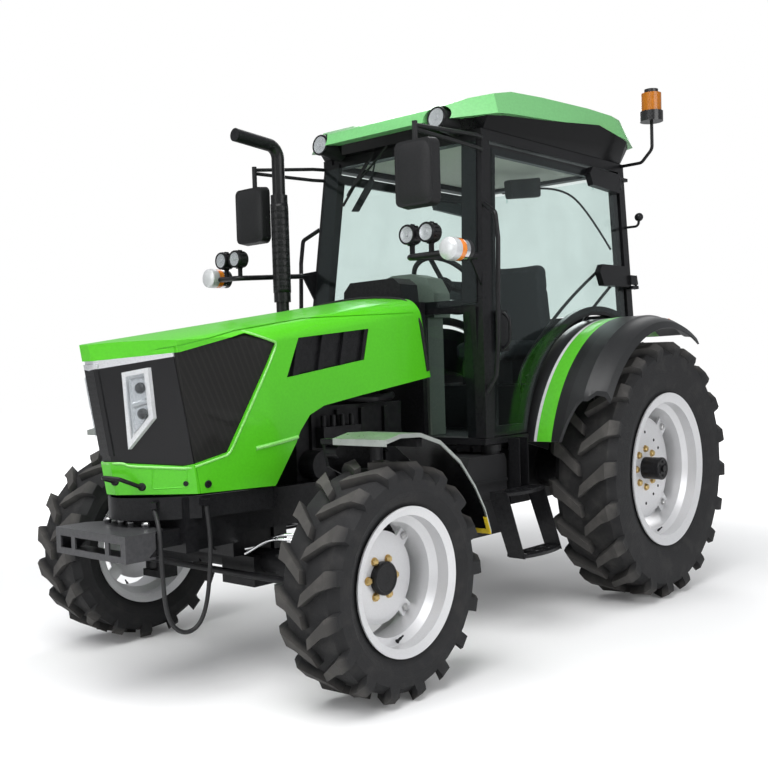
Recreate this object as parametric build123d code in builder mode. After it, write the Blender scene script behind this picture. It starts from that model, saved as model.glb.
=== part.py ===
from build123d import *
import math
import os

os.makedirs("parts", exist_ok=True)

# A farm tractor with a cab, four driven wheels, a lifting bonnet and a rear three-point linkage.
# Millimetres. +X is forward, +Y the tractor's left, +Z up, the ground is at z = 0.

# ---------------------------------------------------------------- running gear sizes
REAR_X = -930.0            # rear axle line
WHEELBASE = 2110.0
FRONT_X = REAR_X + WHEELBASE
FRONT_R = 448.0            # front tyre radius over the lugs
FRONT_W = 300.0
FRONT_Y = 800.0            # front wheel centre from the middle line
REAR_R = 668.0
REAR_W = 360.0
REAR_Y = 788.0
KINGPIN_Y = 635.0
STEER_ARM = 150.0          # kingpin to tie rod
CLEAR = 6.0                # gap kept between moving bodies
RUN = 0.5                  # radial running gap of a pin in its eye

pieces = {}


def keep(name, builder):
    """Store a finished builder under its node name."""
    pieces[name] = builder


def block(x0, x1, y0, y1, z0, z1, mode=Mode.ADD):
    """A box between corner coordinates."""
    with Locations(((x0 + x1) / 2, (y0 + y1) / 2, (z0 + z1) / 2)):
        Box(abs(x1 - x0), abs(y1 - y0), abs(z1 - z0), mode=mode)


def bar(start, end, width, depth, side=(1, 0, 0)):
    """A straight rectangular bar between two points, its width measured along side."""
    a = Vector(*start)
    b = Vector(*end)
    with BuildSketch(Plane(origin=a, x_dir=side, z_dir=(b - a))) as section:
        Rectangle(width, depth)
    extrude(section.sketch, amount=(b - a).length)


def rod(start, end, radius, mode=Mode.ADD):
    """A straight round bar between two points."""
    a = Vector(*start)
    b = Vector(*end)
    with BuildSketch(Plane(origin=a, z_dir=(b - a))) as section:
        Circle(radius)
    extrude(section.sketch, amount=(b - a).length, mode=mode)


def tube(points, radius, bend):
    """A bent round bar; bend is one corner radius, or a list with one for each corner."""
    with BuildLine() as path:
        FilletPolyline(*points, radius=bend)
    with BuildSketch(Plane(origin=path.line @ 0, z_dir=path.line % 0)) as section:
        Circle(radius)
    sweep(section.sketch, path=path.line)


def plate(plane, points, thick, mode=Mode.ADD):
    """A flat plate drawn on a plane and thickened along its normal."""
    with BuildSketch(plane) as section:
        Polygon(*points, align=None)
    extrude(section.sketch, amount=thick, mode=mode)


def mirrored(points):
    """A plan outline closed by its mirror image on the other side of the middle line."""
    return [(px, py) for px, py in points] + [(px, -py) for px, py in reversed(points)]


# ---------------------------------------------------------------- tyres
def faceted_ring(section, sides):
    """A closed ring about the Y axis with flat facets, from (y, radius) points."""
    def corner(k, y, r):
        angle = 2 * math.pi * k / sides
        return Vector(r * math.sin(angle), y, r * math.cos(angle))

    faces = []
    for (y0, r0), (y1, r1) in zip(section, section[1:] + section[:1]):
        for k in range(sides):
            quad = [corner(k, y0, r0), corner(k + 1, y0, r0), corner(k + 1, y1, r1), corner(k, y1, r1)]
            faces.append(Face(Wire.make_polygon(quad)))
    return Solid(Shell(faces))


def lug_solid(radius, half, base, skew, thick):
    """One tread lug from the middle of the tread over one shoulder, its nose leading."""
    tip = math.sqrt(radius**2 - (skew + thick * 0.4) ** 2)
    with BuildPart() as lug:
        plate(
            Plane.XY.offset(base - 58),
            [
                (skew + thick * 0.35, -4), (skew * 0.9 - thick * 0.55, 6),
                (-skew - thick * 0.5, half * 0.8), (-skew - thick * 0.5, half),
                (-skew + thick * 0.62, half), (-skew * 0.45 + thick * 0.6, half * 0.55),
            ],
            tip - base + 58,
        )
        plate(
            Plane.YZ.offset(-radius),
            [
                (half * 0.78, tip + 1), (half + 1, tip - 30), (half + 1, tip + 1),
            ],
            2 * radius, Mode.SUBTRACT,
        )
        plate(
            Plane.YZ.offset(-radius),
            [(half - 14, base - 60), (half + 1, base - 60), (half + 1, base - 16)],
            2 * radius, Mode.SUBTRACT,
        )
    return lug.part


TYRES = {  # radius, width, lug height, lugs a side, skew, lug thickness, rim flange radius, rim half width
    "front": (FRONT_R, FRONT_W, 30.0, 17, 50.0, 44.0, 281.0, 122.0),
    "rear": (REAR_R, REAR_W, 38.0, 20, 64.0, 56.0, 398.0, 147.0),
}
SEAT_DROP = {"front": 27.0, "rear": 42.4}      # flange height over the bead seat


def tyre_solid(axle):
    """A tyre on the Y axis: a faceted carcass with two staggered rows of lugs."""
    radius, width, height, lugs, skew, thick, flange_r, rim_half = TYRES[axle]
    half = width / 2
    base = radius - height
    bead = flange_r - SEAT_DROP[axle] + 4
    side = [
        (rim_half - 16, bead), (rim_half - 9, flange_r + 5), (half * 0.97, flange_r * 0.58 + base * 0.42),
        (half * 0.93, base - 34), (half * 0.72, base - 5),
    ]
    section = side + [(-y, r) for y, r in reversed(side)]
    lug = lug_solid(radius, half, base, skew, thick)
    other = lug.mirror(Plane.XZ)
    pitch = 360.0 / lugs
    row = [lug.rotate(Axis.Y, pitch * k) for k in range(lugs)]
    row += [other.rotate(Axis.Y, pitch * (k + 0.5)) for k in range(lugs)]
    with BuildPart() as tyre:
        add(faceted_ring(section, lugs * 2))
        add(row)
    return tyre.part


# ---------------------------------------------------------------- rims and hubs
RIM_T = 7.0


def rim_solid(axle, disc_y, disc_r, ears, bolt_r, bolts):
    """A drop-centre rim on the Y axis with its disc bolted to ears, the open side facing +Y."""
    flange_r, half = TYRES[axle][6:8]
    seat = flange_r - SEAT_DROP[axle]
    drop = seat - 30
    with BuildPart() as rim:
        with BuildSketch(Plane.YZ):
            with BuildLine():
                outer = [
                    (-half, flange_r), (-half + 10, seat + 3), (-half + 50, seat), (-half + 72, drop),
                    (half - 72, drop), (half - 50, seat), (half - 10, seat + 3), (half, flange_r),
                ]
                inner = [
                    (half + RIM_T, flange_r), (half - 4, seat - RIM_T), (half - 54, seat - RIM_T - 2),
                    (half - 76, drop - RIM_T), (-half + 76, drop - RIM_T),
                    (-half + 54, seat - RIM_T - 2), (-half + 4, seat - RIM_T), (-half - RIM_T, flange_r),
                ]
                Polyline(*outer, *inner, close=True)
            make_face()
        revolve(axis=Axis.Y)
        with BuildSketch(Plane.YZ):
            with BuildLine():
                Polyline(
                    (disc_y, 0), (disc_y + 12, 0), (disc_y + 12, disc_r - 26), (disc_y + 4, disc_r),
                    (disc_y - 8, disc_r), (disc_y, disc_r - 30), close=True,
                )
            make_face()
        revolve(axis=Axis.Y)
        for k in range(ears):
            turn = Rotation(0, 360.0 / ears * (k + 0.5), 0)
            with Locations(turn * Location((0, disc_y - 2, (disc_r + drop) / 2 - 8))):
                Box(disc_r * 0.34, 12, drop - disc_r + 20)
        with BuildSketch(Plane.XZ.offset(-disc_y - 40)):
            with PolarLocations(bolt_r, bolts):
                Circle(9)
        extrude(amount=60, mode=Mode.SUBTRACT)
    return rim.part


HUBS = {  # disc face, disc radius, ears, bolt circle radius, bolts, flange radius, cap radius, cap end
    "front": (-22.0, 178.0, 4, 77.0, 6, 92.0, 63.0, 14.0),
    "rear": (4.0, 268.0, 4, 101.6, 8, 122.0, 58.0, 114.0),
}
HUB_BACK = 40.0            # hub flange depth behind the disc
DISC_T = 12.0
HUB_BORE = 30.5            # hole in the back of a hub for its spindle

WHEELS = (  # name, axle, x, y
    ("front_left", "front", FRONT_X, FRONT_Y),
    ("front_right", "front", FRONT_X, -FRONT_Y),
    ("rear_left", "rear", REAR_X, REAR_Y),
    ("rear_right", "rear", REAR_X, -REAR_Y),
)


def hub_solid(axle):
    """The hub: a flange behind the disc and a round cap standing out through it."""
    disc_y, _, _, bolt_r, bolts, flange, cap_r, cap_end = HUBS[axle]
    with BuildPart() as hub:
        rod((0, disc_y - HUB_BACK, 0), (0, disc_y, 0), flange)
        rod((0, disc_y + DISC_T, 0), (0, cap_end, 0), cap_r)
        if cap_end > 60:
            rod((0, cap_end, 0), (0, cap_end + 12, 0), cap_r * 0.3)
        for k in range(bolts):
            angle = 2 * math.pi * k / bolts
            x, z = bolt_r * math.cos(angle), bolt_r * math.sin(angle)
            rod((x, disc_y, z), (x, disc_y + DISC_T + 14, z), 8.5)
        rod((0, disc_y, 0), (0, disc_y + DISC_T, 0), 40)
        rod((0, disc_y - HUB_BACK - 1, 0), (0, disc_y - 8, 0), HUB_BORE, Mode.SUBTRACT)
    return hub.part


masters = {}
for axle in ("front", "rear"):
    masters["tyre_" + axle] = tyre_solid(axle)
    masters["hub_" + axle] = hub_solid(axle)
    with BuildPart() as rim_cut:
        add(rim_solid(axle, *HUBS[axle][:5]))
        rod((0, -200, 0), (0, 200, 0), 40 + 0.2, Mode.SUBTRACT)
    masters["rim_" + axle] = rim_cut.part

for name, axle, x, y in WHEELS:
    for kind in ("tyre", "rim", "hub"):
        form = masters[kind + "_" + axle]
        with BuildPart() as wheel_piece:
            with Locations((x, y, TYRES[axle][0])):
                add(form.mirror(Plane.XZ) if y < 0 else form)
        keep(kind + "_" + name, wheel_piece)

# ---------------------------------------------------------------- front axle and steering
AXLE_Z = FRONT_R
SILL_Z = 900.0             # cab sill, and the top of its floor
PLINTH_Z = (SILL_Z - 30, SILL_Z)
SEAT_FLOOR_Z = (1100.0, 1130.0)
YOKE_GAP = 112.0           # half height of the knuckle between the yoke arms
YOKE_END = 150.0           # half height over the yoke arms
YOKE_Y = 530.0             # inner face of the yoke
YOKE_POST = 30.0           # thickness of the upright between the yoke arms
KINGPIN_R = 18.0
PIVOT_Z = 530.0            # the axle's swing pin along the tractor
PIVOT_R = 32.0
SHAFT_Y = 60.0             # drive shaft to the front axle
SHAFT_Z = 430.0
SPINDLE_R = 30.0
SPINDLE_IN = 28.0          # how far a spindle enters its hub
FRONT_HUB_BACK = FRONT_Y + HUBS["front"][0] - HUB_BACK
REAR_HUB_BACK = REAR_Y + HUBS["rear"][0] - HUB_BACK
HOUSING_END = FRONT_X - 230.0

with BuildPart() as front_axle:
    rod((FRONT_X, -YOKE_Y, AXLE_Z), (FRONT_X, YOKE_Y, AXLE_Z), 50)
    block(FRONT_X - 88, FRONT_X + 88, -40, 165, AXLE_Z - 98, AXLE_Z + 28)
    for s in (-1, 1):
        plate(
            Plane.YZ.offset(FRONT_X - 44),
            [(s * 250, AXLE_Z - 40), (s * YOKE_Y, AXLE_Z - 80),
             (s * YOKE_Y, AXLE_Z + 80), (s * 250, AXLE_Z + 40)],
            88,
        )
    block(FRONT_X - 70, FRONT_X + 70, -100, 100, AXLE_Z + 20, PIVOT_Z + 44)
    rod((HOUSING_END, SHAFT_Y, SHAFT_Z), (FRONT_X - 60, SHAFT_Y, SHAFT_Z), 45)
    rod((FRONT_X - 146, 0, PIVOT_Z), (FRONT_X + 146, 0, PIVOT_Z), PIVOT_R)
    for s in (-1, 1):
        block(
            FRONT_X - 44, FRONT_X + 44, s * YOKE_Y, s * (YOKE_Y + YOKE_POST),
            AXLE_Z - YOKE_END, AXLE_Z + YOKE_END,
        )
        for h in (-1, 1):
            block(
                FRONT_X - 44, FRONT_X + 44, s * YOKE_Y, s * (KINGPIN_Y + 40),
                AXLE_Z + h * (YOKE_GAP + CLEAR), AXLE_Z + h * YOKE_END,
            )
        rod(
            (FRONT_X, s * KINGPIN_Y, AXLE_Z - YOKE_END - 1), (FRONT_X, s * KINGPIN_Y, AXLE_Z + YOKE_END + 1),
            KINGPIN_R + RUN, Mode.SUBTRACT,
        )
keep("front_axle", front_axle)

ARM_Z = AXLE_Z - 46.0      # top of the steering arms
GUARD_POST_X = FRONT_X - 134.0
GUARD_Y = (690.0, 952.0)   # inner and outer edge of a front mudguard
GUARD_T = 6.0
GUARD_TOP = (              # side view of the sheet over a steered wheel, front to rear
    (FRONT_X + 138, 984), (FRONT_X + 55, 1001), (FRONT_X - 59, 997), (FRONT_X - 177, 961),
    (FRONT_X - 298, 876), (FRONT_X - 392, 768), (FRONT_X - 455, 669), (FRONT_X - 492, 575),
)
BRACKET_TOP = 969.0        # mudguard cross bars, flush under the sheet
for name, s in (("left", 1), ("right", -1)):
    y_in, y_out = s * (KINGPIN_Y - 24), s * (KINGPIN_Y - 8)
    with BuildPart() as knuckle:
        with Locations((FRONT_X, s * KINGPIN_Y, AXLE_Z)):
            Cylinder(46, 2 * YOKE_GAP)
            Cylinder(KINGPIN_R, 2 * YOKE_END + 6)
        rod((FRONT_X, s * KINGPIN_Y, AXLE_Z), (FRONT_X, s * (FRONT_HUB_BACK - CLEAR), AXLE_Z), 84)
        spindle_y = FRONT_HUB_BACK + SPINDLE_IN
        rod((FRONT_X, s * KINGPIN_Y, AXLE_Z), (FRONT_X, s * spindle_y, AXLE_Z), SPINDLE_R)
        block(GUARD_POST_X, FRONT_X + STEER_ARM + 26, y_in, s * (KINGPIN_Y + 4), ARM_Z - 26, ARM_Z)
        block(GUARD_POST_X, GUARD_POST_X + 30, y_in, y_out, ARM_Z - 10, 900)
        plate(
            Plane.XZ.offset(-y_in),
            [
                (GUARD_POST_X, 780), (GUARD_POST_X + 40, 780), (FRONT_X + 96, 872), (FRONT_X + 120, 978),
                (FRONT_X - 40, 978), (GUARD_POST_X, BRACKET_TOP),
            ],
            y_in - y_out,
        )
        block(GUARD_POST_X + 6, GUARD_POST_X + 36, y_in, s * 900, 940, BRACKET_TOP)
        block(FRONT_X + 94, FRONT_X + 124, y_in, s * 900, 960, 980)
        rod((FRONT_X + 92, y_out, 930), (FRONT_X + 92, s * 684, 930), 24)
    keep("knuckle_" + name, knuckle)
    with BuildPart() as guard:
        under = [(px - 1, pz - GUARD_T) for px, pz in reversed(GUARD_TOP)]
        lip = [(px - 1, pz - 16) for px, pz in reversed(GUARD_TOP)]
        plate(Plane.XZ.offset(-s * GUARD_Y[0]), [*GUARD_TOP, *under], s * (GUARD_Y[0] - GUARD_Y[1]))
        plate(Plane.XZ.offset(-s * (GUARD_Y[1] - 6)), [*GUARD_TOP, *lip], -s * 6)
        block(FRONT_X + 132, FRONT_X + 138, s * GUARD_Y[0], s * GUARD_Y[1], 960, 984)
    keep("front_fender_" + name, guard)

TIE_X = FRONT_X + STEER_ARM
TIE_Z = ARM_Z + 0.3        # underside of the tie rod ends, just over the arms
with BuildPart() as tie_rod:
    rod((TIE_X, -KINGPIN_Y + 10, TIE_Z + 15), (TIE_X, KINGPIN_Y - 10, TIE_Z + 15), 14)
    for s in (-1, 1):
        with Locations((TIE_X, s * (KINGPIN_Y - 10), TIE_Z + 15)):
            Cylinder(24, 30)
keep("tie_rod", tie_rod)

# ---------------------------------------------------------------- chassis
BUMPER_X = 1930.0          # front face of the bumper
BUMPER_HALF = 231.0
BUMPER_Z = (561.0, 662.0)
BUMPER_SHEET = 8.0
WING_X = BUMPER_X - 130    # where the bumper's plates narrow towards the bolster
PLATE_X = BUMPER_X - 195   # rear edge of the bumper's top plate
BOLSTER_X = BUMPER_X - 142
NOSE_X = BUMPER_X - 270    # front face of the frame's cross beam
BOLSTER_HALF = 198.0
BOLSTER_Z = (590.0, BUMPER_Z[1] - BUMPER_SHEET)
WINDOW_Z = (585.0, 631.0)
WINDOWS = ((-200, -125), (-100, 100), (125, 200))     # y ranges cut through the bumper's face
RAIL_Y = (190.0, 230.0)
SKIRT_Z = (690.0, 776.0)
SKIRT_X = 1249.0
SKIRT_PLAN = (
    (SKIRT_X, 306), (NOSE_X - 60, 258), (NOSE_X + 70, 160), (NOSE_X + 136, 70), (NOSE_X + 152, 20),
)
SKIRT_T = 10.0
with BuildPart() as front_frame:
    plate(Plane.XY.offset(SKIRT_Z[0]), mirrored(SKIRT_PLAN), SKIRT_Z[1] - SKIRT_Z[0])
    inner = [(px - SKIRT_T * 0.4, py - SKIRT_T) for px, py in SKIRT_PLAN]
    plate(Plane.XY.offset(SKIRT_Z[0] + SKIRT_T), mirrored(inner), 90, Mode.SUBTRACT)
    for s in (-1, 1):
        block(640, NOSE_X - 20, s * RAIL_Y[0], s * RAIL_Y[1], 600, 760)
        block(SKIRT_X, SKIRT_X + 21, s * RAIL_Y[1], s * 306, *SKIRT_Z)
    block(1352, NOSE_X, -205, 205, 560, 640)
    block(NOSE_X - 60, NOSE_X, -RAIL_Y[1], RAIL_Y[1], 560, 770)
    block(NOSE_X, BOLSTER_X, -BOLSTER_HALF, BOLSTER_HALF, *BOLSTER_Z)
    for x0, x1 in ((FRONT_X + 76, FRONT_X + 150), (FRONT_X - 150, FRONT_X - 76)):
        block(x0, x1, -112, 112, 482, 600)
    block(640, FRONT_X + 172, -190, 190, 600, 640)
    rod((FRONT_X - 200, 0, PIVOT_Z), (FRONT_X + 200, 0, PIVOT_Z), PIVOT_R + 0.3, Mode.SUBTRACT)

with BuildPart() as front_bumper:
    block(BUMPER_X - BUMPER_SHEET, BUMPER_X, -BUMPER_HALF, BUMPER_HALF, *BUMPER_Z)
    for y0, y1 in WINDOWS:
        block(BUMPER_X - 20, BUMPER_X + 5, y0, y1, *WINDOW_Z, Mode.SUBTRACT)
    plate(
        Plane.XY.offset(BOLSTER_Z[1]),
        [
            (WING_X, -BUMPER_HALF), (BUMPER_X, -BUMPER_HALF), (BUMPER_X, BUMPER_HALF),
            (WING_X, BUMPER_HALF), (PLATE_X, 190), (PLATE_X, -190),
        ],
        BUMPER_SHEET,
    )
    block(WING_X, BUMPER_X, -BUMPER_HALF, BUMPER_HALF, BUMPER_Z[0], BUMPER_Z[0] + BUMPER_SHEET)
    for s in (-1, 1):
        plate(
            Plane.XZ.offset(-s * BUMPER_HALF),
            [
                (WING_X - 2, 596), (WING_X + 40, BUMPER_Z[0]), (BUMPER_X, BUMPER_Z[0]),
                (BUMPER_X, BUMPER_Z[1]), (WING_X - 2, BUMPER_Z[1]),
            ],
            s * BUMPER_SHEET,
        )
        for y in (32, 125):
            rod((PLATE_X + 30, s * y, BUMPER_Z[1]), (PLATE_X + 30, s * y, BUMPER_Z[1] + 14), 13)
keep("front_bumper", front_bumper)

with BuildPart() as engine:
    block(300, 1000, -160, 160, 640, 1080)
    block(360, 960, -105, 105, 1080, 1190)
    block(330, 980, -190, 190, 640, 760)
    for s in (-1, 1):
        for x in (430, 590, 750, 910):
            block(x - 12, x + 12, s * 160, s * 178, 760, 1060)
    rod((470, 160, 900), (470, 238, 900), 46)
    rod((560, 212, 760), (560, 212, 900), 42)
    block(500, 620, 160, 200, 880, 930)
    block(660, 900, 160, 230, 900, 990)
    for x in (690, 750, 810, 870):
        rod((x, 200, 990), (x, 200, 1040), 13)
    rod((930, 160, 830), (930, 250, 830), 62)
    tube(((420, 90, 1150), (420, 220, 1110), (560, 230, 1100), (760, 90, 1120)), 18, 36)
    block(420, 900, -205, -160, 960, 1040)
keep("engine", engine)

with BuildPart() as gearbox:
    block(-640, 300, -160, 160, 470, 830)
    block(-1180, -640, -200, 200, 480, 900)
    block(-600, -420, -290, 290, 500, 790)
    for x in (-260, -120, 20):
        block(x - 10, x + 10, -176, 176, 490, 812)
    for s in (-1, 1):
        block(40, 130, s * 80, s * 150, 830, PLINTH_Z[0])
        block(-1150, -1080, s * 110, s * 180, 900, SEAT_FLOOR_Z[0])
    block(-400, -202, 0, 120, 380, 470)
    for s in (-1, 1):
        rod((REAR_X, s * 190, REAR_R), (REAR_X, s * (REAR_HUB_BACK - CLEAR), REAR_R), 92)
        rod((REAR_X, s * 190, REAR_R), (REAR_X, s * (REAR_HUB_BACK + SPINDLE_IN), REAR_R), SPINDLE_R)
        rod((REAR_X, s * 190, REAR_R), (REAR_X, s * 330, REAR_R), 130)
keep("gearbox", gearbox)

with BuildPart() as drive_shaft:
    rod((HOUSING_END, SHAFT_Y, SHAFT_Z), (-202, SHAFT_Y, SHAFT_Z), 24)
    for x in (HOUSING_END - 70, -202):
        rod((x, SHAFT_Y, SHAFT_Z), (x + 70, SHAFT_Y, SHAFT_Z), 36)
keep("drive_shaft", drive_shaft)

# ---------------------------------------------------------------- bonnet
HOOD_REAR_X = 362.0
HOOD_REAR_Z = 1551.0
HOOD_NOSE_X = 1919.0
HOOD_NOSE_Z = 1333.0
HOOD_BASE_Z = 782.0
HOOD_TOP_Z = 1620.0        # height at which the upper plan is drawn
HOOD_CROWN = 26.0
HOOD_T = 8.0
FACE_IN = 8.2              # the dark face lies just inside the skin
HOOD_PLAN_LOW = ((150, 325), (1260, 320), (1616, 262), (1822, 30))
HOOD_PLAN_HIGH = ((150, 355), (1350, 357), (1757, 304), (1962, 30))


def hood_core(inset):
    """The bonnet's form without its lower outline, shrunk by inset on every side."""
    slope = math.atan2(HOOD_REAR_Z - HOOD_NOSE_Z, HOOD_NOSE_X - HOOD_REAR_X)
    top_half = 348.0 - inset
    shoulder = HOOD_CROWN * 0.3 - inset * 0.7
    with BuildPart() as core:
        for z, plan in ((HOOD_BASE_Z - 20, HOOD_PLAN_LOW), (HOOD_TOP_Z, HOOD_PLAN_HIGH)):
            with BuildSketch(Plane.XY.offset(z)):
                with BuildLine():
                    Polyline(*mirrored(plan), close=True)
                make_face()
                if inset:
                    offset(amount=-inset, kind=Kind.INTERSECTION, mode=Mode.REPLACE)
        loft(ruled=True)
        nose = Plane(
            origin=(HOOD_NOSE_X, 0, HOOD_NOSE_Z),
            x_dir=(0, -1, 0),
            z_dir=(-math.cos(slope), 0, math.sin(slope)),
        )
        with BuildSketch(nose.offset(-200)):
            with BuildLine():
                Polyline((-top_half, -70), (-top_half, -1100), (top_half, -1100), (top_half, -70))
                ThreePointArc(
                    (-top_half, -70), (-top_half + 22, -20 - inset * 0.6), (-top_half + 75, shoulder))
                ThreePointArc(
                    (top_half, -70), (top_half - 22, -20 - inset * 0.6), (top_half - 75, shoulder))
                ThreePointArc(
                    (-top_half + 75, shoulder), (0, HOOD_CROWN - inset), (top_half - 75, shoulder))
            make_face()
        extrude(amount=2200, mode=Mode.INTERSECT)
    return core.part


HOOD_SIDE = (  # lower outline in side view: rear edge, wheel arch, belly line
    (412, 1700), (289, 1191), (800, 1120), (999, 1090), (1081, 1056), (1136, 993),
    (1158, 948), (1273, 782), (1700, 786), (2050, 795), (2050, 1700),
)
FACE_SIDE = (  # the dark front and flank panels in side view
    (1409, 1393), (1270, 1352), (1492, 933), (1660, 893), (1875, 918), (2050, 918),
    (2050, 1300), (1905, 1298), (1700, 1322),
)
FACE_BACK = (  # the same panels behind the skin, larger all round
    (1405, 1404), (1254, 1358), (1482, 921), (1660, 880), (1875, 904), (2050, 904),
    (2050, 1314), (1905, 1312), (1700, 1335),
)
LAMP_FRONT = ((116, 1252), (195, 1268), (182, 1078), (93, 963))
LAMP_GLASS = ((126, 1236), (181, 1248), (170, 1086), (106, 1000))
VENT_SIDE = ((1146, 1373), (721, 1413), (750, 1278), (1211, 1213))
VENT_BACK = ((1160, 1384), (706, 1426), (738, 1266), (1232, 1198))
SPLIT_LINE = ((411, 1490), (1062, 1458), (1437, 1404), (1760, 1336))   # top panel edge on the flank
SEAM_LINE = ((1716, 1345), (1606, 780))                                # front panel edge
GROOVE_W = 4.0
GROOVE_IN = 3.0


def prism_xz(points, half=600.0):
    """A prism through the whole width, drawn in side view."""
    with BuildPart() as prism:
        plate(Plane.XZ.offset(half), points, -2 * half)
    return prism.part


def groove_line(points, width):
    """A narrow strip along a side-view line."""
    return prism_xz([*points, *[(px + width * 0.2, pz - width) for px, pz in reversed(points)]])


core_out = hood_core(0)
core_in = hood_core(HOOD_T)
groove_skin = core_out - hood_core(GROOVE_IN)
HINGE = (400.0, 1515.0)    # bonnet hinge pin, x and z
HINGE_R = 9.0

with BuildPart() as hood_shell:
    add(core_out)
    add(prism_xz(HOOD_SIDE), mode=Mode.INTERSECT)
    add(core_in, mode=Mode.SUBTRACT)
    add(prism_xz(FACE_SIDE), mode=Mode.SUBTRACT)
    add(prism_xz(VENT_SIDE), mode=Mode.SUBTRACT)
    add(groove_skin & groove_line(SPLIT_LINE, GROOVE_W), mode=Mode.SUBTRACT)
    seam = [(SEAM_LINE[0][0], SEAM_LINE[0][1]), SEAM_LINE[1]]
    seam += [(px + GROOVE_W, pz) for px, pz in reversed(seam)]
    add(groove_skin & prism_xz(seam), mode=Mode.SUBTRACT)
    for s in (-1, 1):
        block(HINGE[0] - 20, HINGE[0] + 20, s * 122, s * 136, HINGE[1] - 14, 1563)
        rod((HINGE[0], s * 124, HINGE[1]), (HINGE[0], s * 166, HINGE[1]), HINGE_R)
keep("hood_shell", hood_shell)

RIDGE_HALF = 42.0
face_core = hood_core(FACE_IN)
face_hollow = hood_core(FACE_IN + 7)
with BuildPart() as hood_face:
    add(face_core)
    add(prism_xz(FACE_BACK), mode=Mode.INTERSECT)
    add(face_hollow, mode=Mode.SUBTRACT)
    with BuildPart(mode=Mode.PRIVATE) as ridge:
        add(hood_core(2))
        block(1700, 2050, -RIDGE_HALF, RIDGE_HALF, 940, 1285, Mode.INTERSECT)
        add(hood_core(FACE_IN + 3), mode=Mode.SUBTRACT)
    add(ridge.part)
    seam_in = (hood_core(FACE_IN) - hood_core(FACE_IN + 3)) & prism_xz(seam)
    add(seam_in, mode=Mode.SUBTRACT)
keep("hood_face", hood_face)


def lamp_form(side, outline, out_inset, in_inset):
    """A slice of the nose between two insets, cut to a lamp outline in front view."""
    with BuildPart() as lamp:
        plate(Plane.YZ.offset(1600), [(side * ly, lz) for ly, lz in outline], 400)
        add(hood_core(out_inset), mode=Mode.INTERSECT)
        add(hood_core(in_inset), mode=Mode.SUBTRACT)
    return lamp.part


with BuildPart() as headlamps:
    for s in (-1, 1):
        add(lamp_form(s, LAMP_FRONT, -4, FACE_IN))
        add(lamp_form(s, LAMP_GLASS, -8, 4), mode=Mode.SUBTRACT)
keep("headlamps", headlamps)

VENT_FINS = ((1146, 1180), (1010, 1040), (884, 912), (758, 784))   # x of each bar at the foot
with BuildPart() as hood_fittings:
    add(hood_core(HOOD_T + 8.2))
    add(prism_xz(VENT_BACK), mode=Mode.INTERSECT)
    add(hood_core(HOOD_T + 14), mode=Mode.SUBTRACT)
    vent_deep = hood_core(2) - hood_core(HOOD_T + 9)
    for x0, x1 in VENT_FINS:
        bar_cut = prism_xz([(x0, 1200), (x1, 1200), (x1 - 42, 1430), (x0 - 42, 1430)])
        add(vent_deep & bar_cut & prism_xz([(px, pz) for px, pz in VENT_SIDE]))
    tube(((1833, 34, 841), (1902, 22, 866), (1856, 100, 856), (1768, 108, 818)), 8, 18)
keep("hood_fittings", hood_fittings)

# ---------------------------------------------------------------- cab
WAIST_Z = 1550.0
HEAD_Z = 2300.0
PILLAR_A = ((180, 585, SILL_Z), (132, 548, WAIST_Z), (50, 505, HEAD_Z))
LEAN = math.atan2(585 - 505, HEAD_Z - SILL_Z)
CAB_REAR_X = -1290.0
FENDER_R = 800.0           # top of the rear mudguards from the axle
POST = 62.0
WELL_Y = 530.0             # inner face of the rear mudguards


def side_y(z):
    """Half width of the cab's side plane at a height."""
    return 585 - (z - SILL_Z) * math.tan(LEAN)


side_plane = Plane(
    origin=(0, 585, SILL_Z), x_dir=(1, 0, 0), z_dir=(0, -math.cos(LEAN), -math.sin(LEAN)))

WINDOW_HINGE = (CAB_REAR_X - 26, 2312.0)     # rear window hinge, x and z
DOOR_HINGE = ((-1284.0, 588.0, 1640.0), (-1204.0, 538.0, 2240.0))
GLASS_T = 6.0
GLASS_X = 172.0            # inner face of the windscreen's foot
LOW_GLASS = ((232, 1488), (500, 1488), (534, 906), (262, 906))     # y, z outline of a lower front window

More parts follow.
